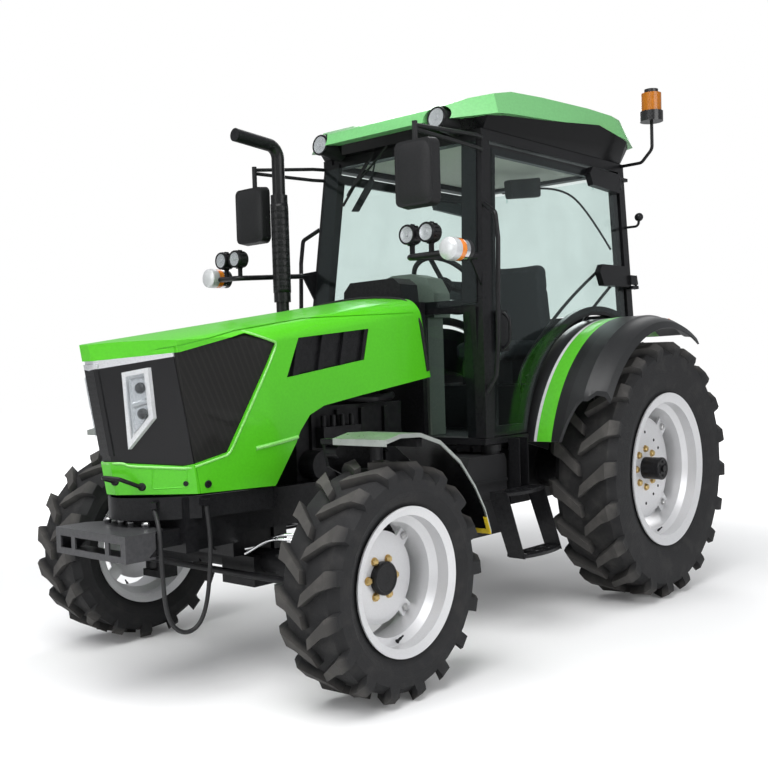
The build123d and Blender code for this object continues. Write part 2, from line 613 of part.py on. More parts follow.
with BuildPart() as cab_frame:
    for s in (-1, 1):
        feet = [(px, s * (py - 18), pz) for px, py, pz in PILLAR_A]
        for a, b in zip(feet, feet[1:]):
            bar(a, b, POST, POST - 4)
        bar((CAB_REAR_X + 30, s * (side_y(1443) - 18), 1443),
            (CAB_REAR_X + 30, s * (side_y(2310) - 18), 2310), POST, POST - 4)
        bar((CAB_REAR_X + 2, s * (side_y(HEAD_Z + 24) - 18), HEAD_Z + 24),
            (84, s * (side_y(HEAD_Z + 24) - 18), HEAD_Z + 24), POST, 50, side=(0, 1, 0))
        block(-150, 210, s * 530, s * 590, *PLINTH_Z)
        bar((158, s * 488, WAIST_Z - 20), (72, s * 446, HEAD_Z + 20), 88, 24, side=(0, 1, 0))
        bar((170, s * 508, SILL_Z), (170, s * 494, WAIST_Z - 40), 74, 24, side=(0, 1, 0))
        rod((WINDOW_HINGE[0], s * 318, WINDOW_HINGE[1]), (WINDOW_HINGE[0], s * 330, WINDOW_HINGE[1]), 14)
        block(WINDOW_HINGE[0], CAB_REAR_X + 20, s * 318, s * 330, WINDOW_HINGE[1] - 6, WINDOW_HINGE[1] + 14)
        rod(
            (WINDOW_HINGE[0], s * 310, WINDOW_HINGE[1]), (WINDOW_HINGE[0], s * 332, WINDOW_HINGE[1]),
            6.5, Mode.SUBTRACT,
        )
    block(20, 76, -505, 505, HEAD_Z, HEAD_Z + 50)
    block(CAB_REAR_X, CAB_REAR_X + 60, -505, 505, HEAD_Z, HEAD_Z + 50)
    block(104, 164, -548, 548, WAIST_Z - 60, WAIST_Z)
    block(150, 210, -560, 560, *PLINTH_Z)
    block(CAB_REAR_X, CAB_REAR_X + 60, -548, 548, 1440, 1500)

COWL = ((-190, 1550), (-184, 1620), (-140, 1664), (140, 1668), (184, 1636), (194, 1550))
HINGE_ARM_Z = (1440.0, 1470.0)
with BuildPart() as cab_floor:
    block(-430, 150, -WELL_Y, WELL_Y, *PLINTH_Z)
    block(-470, -430, -WELL_Y, WELL_Y, PLINTH_Z[0], 1130)
    block(CAB_REAR_X, -470, -WELL_Y, WELL_Y, *SEAT_FLOOR_Z)
    block(CAB_REAR_X, CAB_REAR_X + 20, -WELL_Y, WELL_Y, 1130, 1440)
    block(181, 211, -230, 230, SILL_Z, WAIST_Z)
    plate(Plane.YZ.offset(181), [(-190, 1488), *COWL, (194, 1488)], 128)
    for s in (-1, 1):
        block(211, HINGE[0] + 13, s * 146, s * 156, *HINGE_ARM_Z)
        block(HINGE[0] - 13, HINGE[0] + 13, s * 146, s * 156, HINGE_ARM_Z[0], HINGE[1])
        rod((HINGE[0], s * 146, HINGE[1]), (HINGE[0], s * 156, HINGE[1]), 15)
        rod((HINGE[0], s * 140, HINGE[1]), (HINGE[0], s * 160, HINGE[1]), HINGE_R + RUN, Mode.SUBTRACT)
keep("cab_floor", cab_floor)

with BuildPart() as front_glass:
    tilt = Plane(
        origin=(GLASS_X, 0, WAIST_Z - 30), x_dir=(0, 1, 0),
        z_dir=Vector(HEAD_Z - WAIST_Z, 0, 82).normalized(),
    )
    plate(tilt, [(-528, 0), (528, 0), (490, 780), (-490, 780)], GLASS_T)
    for s in (-1, 1):
        plate(Plane.YZ.offset(182), [(s * gy, gz) for gy, gz in LOW_GLASS], GLASS_T)
keep("front_glass", front_glass)

with BuildPart() as rear_window:
    block(CAB_REAR_X - CLEAR - GLASS_T, CAB_REAR_X - CLEAR, -500, 500, 1510, 2285)
    for s in (-1, 1):
        block(
            WINDOW_HINGE[0] - 5, CAB_REAR_X - CLEAR - GLASS_T, s * 296, s * 308,
            2240, WINDOW_HINGE[1],
        )
        rod((WINDOW_HINGE[0], s * 296, WINDOW_HINGE[1]), (WINDOW_HINGE[0], s * 330, WINDOW_HINGE[1]), 6)
keep("rear_window", rear_window)

# ---------------------------------------------------------------- doors
DOOR_T = 28.0
DOOR_TOP = HEAD_Z - 14.0
DOOR_FOOT = SILL_Z + 7.0
DOOR_ARC_R = FENDER_R + 24.0
DOOR_FRAME_W = 46.0
UP = 1 / math.cos(LEAN)


def on_door(points):
    """Side-view x, z points moved onto the door's leaning plane."""
    return [(px, (pz - SILL_Z) * UP) for px, pz in points]


def door_outline(inset):
    """The door's edge on its own plane, its rear foot an arc over the mudguard."""
    low_z = DOOR_FOOT + inset
    top_z = DOOR_TOP - inset
    r = DOOR_ARC_R + inset
    rear_x = CAB_REAR_X + 72 + inset
    a0 = math.asin((low_z - REAR_R) / r)
    a1 = math.acos((rear_x - REAR_X) / r)
    arc = on_door([
        (REAR_X + r * math.cos(a), REAR_R + r * math.sin(a)) for a in (a0, (a0 + a1) / 2, a1)])
    front = on_door([(134 - inset, low_z), (86 - inset, WAIST_Z), (9 - inset, top_z)])
    top = on_door([(rear_x, top_z)])
    Polyline(arc[0], *front)
    Polyline(front[-1], top[0], arc[2])
    ThreePointArc(arc[2], arc[1], arc[0])


def hinge_at(z):
    """A point of the door's leaning hinge line at a height."""
    a, b = Vector(*DOOR_HINGE[0]), Vector(*DOOR_HINGE[1])
    return tuple(a + (b - a) * ((z - a.Z) / (b.Z - a.Z)))


PIN_R = 8.0
KNUCKLE_R = 14.0
DOOR_HINGES = (            # bracket z range on the post, knuckle z range on the door, cover outline
    ((1640, 1658), (1664, 1716), ((-1222, 1648), (-1222, 1762), (-930, 1762), (-896, 1720), (-930, 1648))),
    ((2248, 2266), (2196, 2242),
     ((-1188, 2170), (-1188, 2240), (-1172, 2276), (-900, 2286), (-862, 2246), (-890, 2186))),
)
HANDLE_SIDE = ((2, 1300), (2, 1492), (66, 1492), (72, 1300))
LATCH_SIDE = ((20, 1320), (20, 1460), (48, 1460), (50, 1320))
for name, s in (("left", 1), ("right", -1)):
    with BuildPart() as door_form:
        with BuildSketch(side_plane):
            with BuildLine():
                door_outline(0)
            make_face()
            with BuildLine():
                door_outline(DOOR_FRAME_W)
            make_face(mode=Mode.SUBTRACT)
        extrude(amount=DOOR_T)
        plate(side_plane.offset(-GLASS_T), on_door(HANDLE_SIDE), -26)
        plate(side_plane, on_door(LATCH_SIDE), -GLASS_T)
        for bracket, knuckle_z, cover in DOOR_HINGES:
            plate(side_plane.offset(-GLASS_T), on_door(cover), -34)
            mid = hinge_at(sum(knuckle_z) / 2)
            block(mid[0], cover[0][0] + 8, mid[1] - 10, mid[1] + 10, *knuckle_z)
            rod(hinge_at(knuckle_z[0]), hinge_at(knuckle_z[1]), KNUCKLE_R)
            rod(hinge_at(knuckle_z[0] - 4), hinge_at(knuckle_z[1] + 4), PIN_R + RUN, Mode.SUBTRACT)
    with BuildPart() as glass_form:
        with BuildSketch(side_plane):
            with BuildLine():
                door_outline(16)
            make_face()
        extrude(amount=-GLASS_T)
        plate(side_plane.offset(1), on_door(LATCH_SIDE), -20, Mode.SUBTRACT)
    with BuildPart() as door_frame:
        add(door_form.part if s > 0 else door_form.part.mirror(Plane.XZ))
    keep("door_frame_" + name, door_frame)
    with BuildPart() as door_glass:
        add(glass_form.part if s > 0 else glass_form.part.mirror(Plane.XZ))
    keep("door_glass_" + name, door_glass)

with BuildPart() as hinge_posts:
    for bracket, knuckle_z, _ in DOOR_HINGES:
        low, high = min(bracket[0], knuckle_z[0]), max(bracket[1], knuckle_z[1])
        rod(hinge_at(low), hinge_at(high), PIN_R)
        rod(hinge_at(bracket[0]), hinge_at(bracket[1]), KNUCKLE_R)
        mid = hinge_at(sum(bracket) / 2)
        block(CAB_REAR_X + 4, CAB_REAR_X + 58, side_y(mid[2]), mid[1] + 8, *bracket)
        block(CAB_REAR_X + 10, mid[0] + 8, mid[1] - 8, mid[1] + 8, *bracket)
with BuildPart() as cab_posts:
    add(cab_frame.part)
    add(hinge_posts.part)
    add(hinge_posts.part.mirror(Plane.XZ))
keep("cab_frame", cab_posts)

# ---------------------------------------------------------------- roof
ROOF_LAMP_R = 50.0


def roof_lamp_rods(radius, depth, mode):
    """The pair of round lamp bodies let into the front corners of the roof."""
    for side in (-1, 1):
        with Locations(Location((170, side * 381, 2386), (0, 84, 0))):
            Cylinder(radius, depth, mode=mode)


ROOF_LOW = ((276, 330), (250, 425), (90, 628), (-1190, 640), (-1310, 600), (-1350, 470))
ROOF_HIGH = ((150, 300), (120, 360), (-20, 500), (-1170, 540), (-1262, 500), (-1300, 400))
TRIM_FOOT = ((130, 330), (120, 400), (70, 520), (-1240, 520), (-1280, 500), (-1290, 450))
TRIM_Z = HEAD_Z + 50.0     # roof trim rests on the head rails
GREEN_FOOT = (             # side view of the edge where the green shell meets the dark trim
    (320, 2372), (90, 2400), (-50, 2418), (-450, 2450), (-850, 2488), (-1122, 2462), (-1380, 2424),
)
ROOF_TOP = (
    (320, 2380), (276, 2424), (120, 2488), (20, 2512), (-140, 2550), (-420, 2572), (-860, 2590),
    (-1100, 2588), (-1290, 2550), (-1380, 2476),
)
with BuildPart() as roof_trim:
    with BuildSketch(Plane.XY.offset(TRIM_Z)):
        Polygon(*mirrored(TRIM_FOOT), align=None)
    with BuildSketch(Plane.XY.offset(2500)):
        Polygon(*mirrored([(px * 0.98, py - 14) for px, py in ROOF_LOW]), align=None)
    loft(ruled=True)
    add(prism_xz([*GREEN_FOOT, (-1380, 2300), (320, 2300)], 700), mode=Mode.INTERSECT)
    block(-1230, 60, -420, 420, 2340, TRIM_Z + 30, Mode.SUBTRACT)
    roof_lamp_rods(ROOF_LAMP_R + 0.6, 200, Mode.SUBTRACT)
keep("roof_trim", roof_trim)

with BuildPart() as roof_shell:
    with BuildSketch(Plane.XY.offset(2372)):
        Polygon(*mirrored(ROOF_LOW), align=None)
    with BuildSketch(Plane.XY.offset(2620)):
        Polygon(*mirrored(ROOF_HIGH), align=None)
    loft(ruled=True)
    add(prism_xz([*ROOF_TOP, *reversed(GREEN_FOOT)], 700), mode=Mode.INTERSECT)
    roof_lamp_rods(ROOF_LAMP_R + 14, 260, Mode.SUBTRACT)
keep("roof_shell", roof_shell)

with BuildPart() as headliner:
    block(-1228, 18, -418, 418, TRIM_Z - 24, TRIM_Z + 30)
keep("headliner", headliner)

# ---------------------------------------------------------------- rear mudguards
FENDER_T = 8.0
GREEN_Y = 690.0            # where the green sheet ends and the dark flare starts
REAR_ANGLE = 118.0


def fender_sweep(profile, a0, a1):
    """Turn a (y, radius) outline about the rear axle between two angles above level."""
    a = math.radians(a0)
    plane = Plane(origin=(REAR_X, 0, REAR_R), x_dir=(0, 1, 0), z_dir=(math.sin(a), 0, -math.cos(a)))
    with BuildSketch(plane) as section:
        Polygon(*profile, align=None)
    revolve(section.sketch, axis=Axis((REAR_X, 0, REAR_R), (0, -1, 0)), revolution_arc=a1 - a0)


def sided(s, profile):
    """A (y, radius) outline moved to one side of the tractor."""
    return [(s * y, r) for y, r in profile]


FLARE = (
    (GREEN_Y, 792), (GREEN_Y, 804), (846, 806), (868, 794), (902, 790), (940, 768), (958, 736),
    (950, 732), (932, 758), (898, 780), (864, 784), (842, 796),
)
with BuildPart() as fenders:
    for s in (-1, 1):
        crown = [(WELL_Y, 792), (WELL_Y, FENDER_R), (GREEN_Y, FENDER_R), (GREEN_Y, 792)]
        inner_y = WELL_Y + FENDER_T
        wall = [(WELL_Y, 540), (WELL_Y, 792), (inner_y, 792), (inner_y, 540)]
        fender_sweep(sided(s, crown), 14, REAR_ANGLE)
        fender_sweep(sided(s, wall), 14, REAR_ANGLE)
keep("fenders", fenders)

with BuildPart() as fender_flares:
    for s in (-1, 1):
        fender_sweep(sided(s, FLARE), 14, REAR_ANGLE)
        plate(
            Plane.XY.offset(600),
            [(-100, s * 716), (-100, s * 1000), (-330, s * 1000), (-292, s * 940), (-220, s * 820)],
            900, Mode.SUBTRACT,
        )
keep("fender_flares", fender_flares)

# ---------------------------------------------------------------- inside the cab
DASH = (
    (-205, 1480), (-205, 1600), (-160, 1676), (-60, 1704), (60, 1704), (160, 1676), (205, 1600), (205, 1480),
)
COLUMN = ((-30.0, 0.0, 1448.0), (-262.0, 0.0, 1652.0))
with BuildPart() as dashboard:
    block(-20, 100, -180, 180, SILL_Z, 1480)
    plate(Plane.YZ.offset(-50), DASH, 130)
    rod(*COLUMN, 24)
    tip = Vector(*COLUMN[1])
    lean = (tip - Vector(*COLUMN[0])).normalized()
    rod(tuple(tip), tuple(tip + lean * 26), 10)
keep("dashboard", dashboard)

RIM_RADIUS = 185.0
RIM_HALF = 14.0
with BuildPart() as steering_wheel:
    hub = tip + lean * CLEAR
    face = Plane(origin=hub, x_dir=(0, 1, 0), z_dir=lean)
    with BuildSketch(face):
        RegularPolygon(46, 12)
    extrude(amount=30)
    rim_start = hub + face.z_dir * 15 + face.x_dir * RIM_RADIUS
    with BuildSketch(Plane(origin=rim_start, x_dir=face.x_dir, z_dir=face.y_dir)):
        RegularPolygon(RIM_HALF, 8)
    revolve(axis=Axis(hub, face.z_dir))
    for k in range(3):
        arm = face.x_dir.rotate(Axis((0, 0, 0), face.z_dir), 120 * k + 30)
        start, end = hub + face.z_dir * 15 + arm * 30, hub + face.z_dir * 15 + arm * (RIM_RADIUS - 5)
        bar(start, end, 26, 10, side=arm.cross(face.z_dir))
    rod(tuple(hub - face.z_dir), tuple(hub + face.z_dir * 22), 10 + RUN, Mode.SUBTRACT)
keep("steering_wheel", steering_wheel)

SEAT_Z = 1262.0
with BuildPart() as seat_base:
    block(-1000, -640, -170, 170, 1130, SEAT_Z)
keep("seat_base", seat_base)
with BuildPart() as seat:
    block(-1030, -560, -215, 215, SEAT_Z, SEAT_Z + 104)
    with BuildSketch(Plane(origin=(-1006, 0, SEAT_Z + 60), x_dir=(0, 1, 0), z_dir=(1, 0, 0.16))) as back:
        with BuildLine():
            Polyline((-195, 0), (195, 0), (195, 440))
            ThreePointArc((195, 440), (138, 496), (60, 512))
            Line((60, 512), (-60, 512))
            ThreePointArc((-60, 512), (-138, 496), (-195, 440))
            Line((-195, 440), (-195, 0))
        make_face()
    extrude(back.sketch, amount=-92)
keep("seat", seat)

# ---------------------------------------------------------------- outside fittings
EXHAUST_Y = -422.0
EXHAUST_X = 507.0
with BuildPart() as exhaust:
    tube(
        (
            (500, -206, 1000), (EXHAUST_X, EXHAUST_Y, 1000),
            (EXHAUST_X, EXHAUST_Y, 2352), (784, EXHAUST_Y, 2374),
        ),
        32, 62,
    )
    rod((EXHAUST_X, EXHAUST_Y, 1583), (EXHAUST_X, EXHAUST_Y, 2114), 42)
keep("exhaust", exhaust)

MIRRORS = (                # side, stem x, stem y, glass centre x, glass centre y, glass centre z
    (1, 655, 585, 668, 600, 2055), (-1, 520, 585, 528, 600, 2030),
)
MIRROR_HALF = (26.0, 105.0, 142.0)
with BuildPart() as mirrors:
    for s, stem_x, stem_y, x, y, z in MIRRORS:
        for drop in (0, 58):
            root = (80, s * 516, 2306 - drop)
            knee = (150, s * 535, 2304 - drop)
            tube((root, knee, (stem_x, s * stem_y, 2262 - drop * 0.3)), 9, 40)
        rod((stem_x, s * stem_y, 2278), (stem_x, s * stem_y, z + MIRROR_HALF[2] - 8), 12)
        back = Plane(origin=(x - MIRROR_HALF[0], s * y, z), x_dir=(0, 1, 0), z_dir=(1, 0, 0))
        with BuildSketch(back) as shell:
            RectangleRounded(2 * MIRROR_HALF[1], 2 * MIRROR_HALF[2], 34)
        extrude(shell.sketch, amount=2 * MIRROR_HALF[0], taper=6)
keep("mirrors", mirrors)

LAMP_BAR = (690.0, 1704.0)     # x and z of the bar under the pillar work lamps
LAMP_BRACKET = ((128, 1768), (236, 1748), (236, 1728), (150, 1600), (136, 1600))
WORK_LAMPS = ((558.0, 1800.0), (662.0, 1800.0))      # y, z
BEACON_STALK = ((-1262, 490, 2336), (-1250, 650, 2336), (-1240, 720, 2400), (-1240, 720, 2548))
WORK_LAMP_R = 40.0
with BuildPart() as lamp_arms:
    for s in (-1, 1):
        plate(Plane.XZ.offset(-s * 552), LAMP_BRACKET, s * 8)
        bar_x, bar_z = LAMP_BAR
        tube(
            ((200, s * 556, 1738), (bar_x, s * 546, bar_z), (bar_x - 38, s * 727, bar_z + 8)),
            13, 30,
        )
        for y, z in WORK_LAMPS:
            stem_top = z - WORK_LAMP_R + 2
            block(bar_x - 36, bar_x - 22, s * (y - 9), s * (y + 9), bar_z - 6, stem_top)
    tube(BEACON_STALK, 9, 40)
    tube(((-1262, 526, 1990), (-1262, 618, 1990), (-1262, 622, 2030)), 7, 22)
    with Locations((-1262, 622, 2040)):
        Sphere(24)
keep("lamp_arms", lamp_arms)

INDICATOR = (627.0, 772.0, 1722.0, 46.0)     # x, y, z and radius of a front indicator
with BuildPart() as lamps:
    for s in (-1, 1):
        for y, z in WORK_LAMPS:
            rod((LAMP_BAR[0] - 52, s * y, z), (LAMP_BAR[0] + 4, s * y, z), WORK_LAMP_R)
        x, y, z, r = INDICATOR
        rod((x - 58, s * y, z), (x + 62, s * y, z), r)
        fender_sweep(sided(s, [(740, 806.2), (740, 828), (836, 828), (836, 806.2)]), 107, 114)
    roof_lamp_rods(ROOF_LAMP_R, 150, Mode.ADD)
keep("lamps", lamps)

with BuildPart() as beacon:
    rod((-1240, 720, 2548), (-1240, 720, 2602), 62)
    rod((-1240, 720, 2602), (-1240, 720, 2700), 54)
    rod((-1240, 720, 2700), (-1240, 720, 2722), 38)
keep("beacon", beacon)

TANK_X = (38.0, 353.0)
with BuildPart() as fuel_tank:
    plate(
        Plane.XZ.offset(-260),
        [(TANK_X[0], 470), (TANK_X[0] + 20, 451), (TANK_X[1] - 20, 451), (TANK_X[1], 470),
         (TANK_X[1], 770), (TANK_X[1] - 24, 820), (TANK_X[0] + 16, 820), (TANK_X[0], 790)],
        -324,
    )
    rod((88, 532, 820), (88, 532, 834), 40)
    rod((88, 532, 834), (88, 532, 864), 48)
    for z in (596, 690):
        block(TANK_X[0] - 4, TANK_X[1] + 4, 256, 588, z, z + 14)
    block(TANK_X[0] + 40, TANK_X[0] + 80, 160, 260, 560, 620)
    block(TANK_X[1] - 80, TANK_X[1] - 60, 160, 260, 560, 620)
keep("fuel_tank", fuel_tank)

TREAD_X = (-50.0, 255.0)
TREADS = ((660.0, 640.0, 756.0), (388.0, 726.0, 842.0))     # top z, inner y, outer y
with BuildPart() as steps:
    for s in (-1, 1):
        for z, y0, y1 in TREADS:
            with BuildSketch(Plane.XY.offset(z - 14)) as tread:
                with BuildLine():
                    Polyline(
                        (TREAD_X[0], s * (y1 - 24)), (TREAD_X[0], s * y0),
                        (TREAD_X[1], s * y0), (TREAD_X[1], s * (y1 - 24)),
                    )
                    ThreePointArc(
                        (TREAD_X[1], s * (y1 - 24)), (sum(TREAD_X) / 2, s * y1), (TREAD_X[0], s * (y1 - 24)))
                make_face()
                for x in (-5, 90, 185):
                    with Locations((x, s * (y0 + 52))):
                        Rectangle(66, 56, mode=Mode.SUBTRACT)
            extrude(tread.sketch, amount=14)
        for x in TREAD_X:
            plate(
                Plane.YZ.offset(x - 3),
                [(s * 640, 664), (s * 640, 640), (s * 736, 372), (s * 822, 372), (s * 734, 664)],
                6,
            )
        for x in (TREAD_X[0], 22):
            block(x - 3, x + 5, s * 590, s * 650, 646, 890)
keep("steps", steps)

RAIL = (
    (104, 540, 1990), (146, 630, 1936), (151, 646, 1817),
    (171, 646, 1330), (170, 632, 1190), (176, 572, 1105),
)
with BuildPart() as grab_rails:
    for s in (-1, 1):
        tube([(px, s * py, pz) for px, py, pz in RAIL], 11, 26)
keep("grab_rails", grab_rails)

# ---------------------------------------------------------------- rear linkage
LINK_PIVOT = (-1130.0, 540.0)      # x and z of the lower link pins
LINK_Y = 400.0             # ball centres from the middle line
LINK_PIN_R = 13.0
BALL_R = 14.35             # pin bore of the link balls
BALL_BODY_R = 34.0
BALL_AT = (-1896.0, 500.0)     # x and z of the link balls, arms half lowered
TOP_PIN_R = 12.85
PTO_R = 17.46
PTO_COLLAR_R = 24.0
HITCH_X = -1290.0          # rear face of the hitch casting
PTO_END = HITCH_X - 90
PTO_Z = 620.0
with BuildPart() as hitch:
    block(HITCH_X, -1180, -90, 90, 560, 880)
    block(-1480, -1180, -40, 40, 470, 500)
    block(HITCH_X, -1180, -60, 60, 500, 560)
    rod((-1440, 0, 460), (-1440, 0, 520), 15, Mode.SUBTRACT)
    for s in (-1, 1):
        block(HITCH_X - 70, HITCH_X, s * 30, s * 50, 780, 860)
        rod((LINK_PIVOT[0], s * 200, LINK_PIVOT[1]), (LINK_PIVOT[0], s * 286, LINK_PIVOT[1]), LINK_PIN_R)
        rod((LINK_PIVOT[0], s * 200, LINK_PIVOT[1]), (LINK_PIVOT[0], s * 240, LINK_PIVOT[1]), 34)
    rod((-1330, -60, 820), (-1330, 60, 820), TOP_PIN_R, Mode.SUBTRACT)
    rod((HITCH_X - 10, 0, PTO_Z), (-1190, 0, PTO_Z), PTO_COLLAR_R + RUN, Mode.SUBTRACT)
keep("hitch", hitch)

with BuildPart() as lower_links:
    for s in (-1, 1):
        px, pz = LINK_PIVOT
        bx, bz = BALL_AT
        bar((px, s * 262, pz), (bx + 6, s * LINK_Y, bz), 60, 18, side=(0, 0, 1))
        rod((px, s * 248, pz), (px, s * 276, pz), BALL_BODY_R)
        rod((px, s * 240, pz), (px, s * 300, pz), LINK_PIN_R + RUN, Mode.SUBTRACT)
        rod((bx, s * (LINK_Y - 22), bz), (bx, s * (LINK_Y + 22), bz), BALL_BODY_R)
        rod((bx, s * (LINK_Y - 30), bz), (bx, s * (LINK_Y + 30), bz), BALL_R, Mode.SUBTRACT)
keep("lower_links", lower_links)

with BuildPart() as pto_shaft:
    rod((-1200, 0, PTO_Z), (HITCH_X, 0, PTO_Z), PTO_COLLAR_R)
    rod((HITCH_X, 0, PTO_Z), (PTO_END, 0, PTO_Z), PTO_R)
keep("pto_shaft", pto_shaft)

# ---------------------------------------------------------------- hanging loop at the nose
LOOP_R = 8.5
LOOP_POINTS = (
    (1756, 170, 730), (1782, 232, 690), (1790, 247, 606), (1786, 250, 476), (1780, 252, 368),
    (1752, 256, 296), (1695, 262, 264), (1637, 268, 288), (1606, 274, 358), (1590, 279, 470),
    (1581, 283, 610), (1598, 282, 738),
)
loop_radii = []
for a, b, c in zip(LOOP_POINTS, LOOP_POINTS[1:], LOOP_POINTS[2:]):
    run_in, run_out = Vector(*b) - Vector(*a), Vector(*c) - Vector(*b)
    turn = math.radians(run_in.get_angle(run_out))
    loop_radii.append(0.45 * min(run_in.length, run_out.length) / math.tan(turn / 2))
print("loop radii", [round(r) for r in loop_radii])
with BuildPart() as front_loop:
    tube(LOOP_POINTS, LOOP_R, loop_radii)
keep("front_loop", front_loop)

with BuildPart() as framed:
    add(front_frame.part)
    bar((1726, 148, 750), (1766, 178, 750), 24, 24, side=(0, 0, 1))
    bar((1596, 254, 752.5), (1599, 294, 752.5), 24, 24, side=(0, 0, 1))
keep("front_frame", framed)

for part_name, builder in pieces.items():
    builder.part.label = part_name
    export_step(builder.part, "parts/" + part_name + ".step")
print(len(pieces), "pieces")
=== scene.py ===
# %% [markdown]
# # Dressing a farm tractor
# The solids of this tractor come from a CAD model: every wheel, panel and pane is already in its place, in
# metres, with +X forward, +Y to the tractor's left and +Z up. This lesson gives them paint, rubber and
# glass, and adds what is too fine for the solids: bolts, seals, reflectors, wipers and a soft seat.

# %% Load the frame
import math
import bmesh
import bpy
from mathutils import Matrix, Vector
from mathutils.bvhtree import BVHTree


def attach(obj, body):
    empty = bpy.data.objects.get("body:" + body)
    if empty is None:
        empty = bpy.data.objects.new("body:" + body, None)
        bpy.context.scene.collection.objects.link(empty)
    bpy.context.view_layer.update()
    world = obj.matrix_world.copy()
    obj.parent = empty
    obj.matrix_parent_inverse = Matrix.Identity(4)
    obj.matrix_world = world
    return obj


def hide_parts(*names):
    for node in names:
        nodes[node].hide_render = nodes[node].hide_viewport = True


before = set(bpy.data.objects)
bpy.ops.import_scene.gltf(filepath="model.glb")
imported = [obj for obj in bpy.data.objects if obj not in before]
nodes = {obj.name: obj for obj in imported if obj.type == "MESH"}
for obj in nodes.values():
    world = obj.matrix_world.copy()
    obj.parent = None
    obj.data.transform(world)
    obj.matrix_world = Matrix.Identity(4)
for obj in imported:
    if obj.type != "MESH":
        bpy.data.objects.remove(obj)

scene = bpy.context.scene
SIDES = (("left", 1), ("right", -1))
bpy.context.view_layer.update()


def placed(name, data):
    """A new object in the scene, at the origin."""
    made = bpy.data.objects.new(name, data)
    scene.collection.objects.link(made)
    return made


def mesh_of(name, form):
    """Turn a form into a mesh and let it go."""
    mesh = bpy.data.meshes.new(name)
    form.to_mesh(mesh)
    form.free()
    return mesh


def applied(made):
    """A mesh of an object with its modifiers applied."""
    return bpy.data.meshes.new_from_object(made.evaluated_get(bpy.context.evaluated_depsgraph_get()))

# %% [markdown]
# ## The camera
# The tractor is seen from its front left corner, a little above bonnet height. A camera is placed by three
# directions that are square to each other: its right, its up and its back. They are the columns of its
# rotation. A long lens keeps the wheels round.

# %% Place the camera
CAMERA_PLACE = (4.0343, 3.3444, 1.2471)
CAMERA_RIGHT = (-0.66434, 0.74684, -0.02977)
CAMERA_BACK = (0.74558, 0.66497, 0.04389)
LENS_MM, SENSOR_MM = 47.84, 36.0
LENS_SHIFT = (0.0075, 0.0355)
camera_data = bpy.data.cameras.new("portrait camera")
camera_data.lens, camera_data.sensor_width = LENS_MM, SENSOR_MM
camera_data.shift_x, camera_data.shift_y = LENS_SHIFT
camera = placed("portrait camera", camera_data)
right, back = Vector(CAMERA_RIGHT).normalized(), Vector(CAMERA_BACK).normalized()
turn = Matrix((right, back.cross(right), back)).transposed()
camera.matrix_world = Matrix.Translation(CAMERA_PLACE) @ turn.to_4x4()
scene.camera = camera
scene.view_settings.view_transform = "Standard"
print("camera stands", round(camera.location.length, 2), "m from the middle of the tractor")

# %% [markdown]
# ## Cords first
# A thin rubber-covered loop hangs from two clips under the nose. A real cord is a fixed length that sags
# under its own weight, so it is drawn as one NURBS curve whose control points are the route of the solid
# tube. The order is set after the points, because an empty spline can't hold it.

# %% Hang the loop under the nose
LOOP_R = 0.0085
LOOP_ROUTE = (
    (1.756, 0.17, 0.73), (1.782, 0.232, 0.69), (1.79, 0.247, 0.606), (1.786, 0.25, 0.476),
    (1.78, 0.252, 0.368), (1.752, 0.256, 0.296), (1.695, 0.262, 0.264), (1.637, 0.268, 0.288),
    (1.606, 0.274, 0.358), (1.59, 0.279, 0.47), (1.581, 0.283, 0.61), (1.598, 0.282, 0.738),
)


def nurbs(name, route, radius, sides=3):
    """A round cord or bar along one smooth NURBS line."""
    curve = bpy.data.curves.new(name, "CURVE")
    curve.dimensions = "3D"
    curve.bevel_depth = radius
    curve.bevel_resolution = sides
    curve.resolution_u = 8
    curve.use_fill_caps = True
    spline = curve.splines.new("NURBS")
    spline.points.add(len(route) - 1)
    for point, place in zip(spline.points, route):
        point.co = (*place, 1.0)
    spline.order_u = 3
    spline.use_endpoint_u = True
    return placed(name, curve), spline


loop, loop_line = nurbs("nose_loop", LOOP_ROUTE, LOOP_R)

# %% [markdown]
# ## The studio
# A pale floor and a white surround show the tractor alone. Only camera and transmission rays see plain
# white: reflections and shadows see a softer grey, so black paint stays black. Large area lamps stand for
# soft boxes.

# %% Make the floor, the surround and the lamps
FILL_COLOUR, FILL_STRENGTH = (0.95, 0.97, 1.0, 1.0), 0.4
PLAIN_WHITE = (1.0, 1.0, 1.0, 1.0)
FLOOR_HALF = 30.0
FLOOR_GREY, FLOOR_ROUGHNESS = (0.86, 0.86, 0.86, 1.0), 0.9
GLOW_FROM, GLOW_TO = 2.2, 7.0  # metres from the middle, between which the floor's glow rises
GLOW_LOW, GLOW_HIGH = 0.06, 1.0


def new_node(tree, kind, **settings):
    """Add a shader node and set its properties by name."""
    made = tree.nodes.new("ShaderNode" + kind)
    for key, value in settings.items():
        setattr(made, key, value)
    return made


def dial(node, *pairs):
    """Set inputs of a node, each by its name and a value."""
    for key, value in pairs:
        node.inputs[key].default_value = value


def wire(tree, *pairs):
    """Link sockets, each pair from an output to an input."""
    for start, end in pairs:
        tree.links.new(start, end)


def combine(tree, operation, *values):
    """A Math node on values that are each a number or a socket."""
    made = new_node(tree, "Math", operation=operation)
    for socket, value in zip(made.inputs, values):
        if isinstance(value, float):
            socket.default_value = value
        else:
            wire(tree, (value, socket))
    return made.outputs[0]


def spread(tree, value, low, high, to_low, to_high):
    """Stretch a value from one range to another, held at its ends."""
    made = new_node(tree, "MapRange", interpolation_type="SMOOTHSTEP")
    dial(made, ("From Min", low), ("From Max", high), ("To Min", to_low), ("To Max", to_high))
    wire(tree, (value, made.inputs["Value"]))
    return made.outputs["Result"]


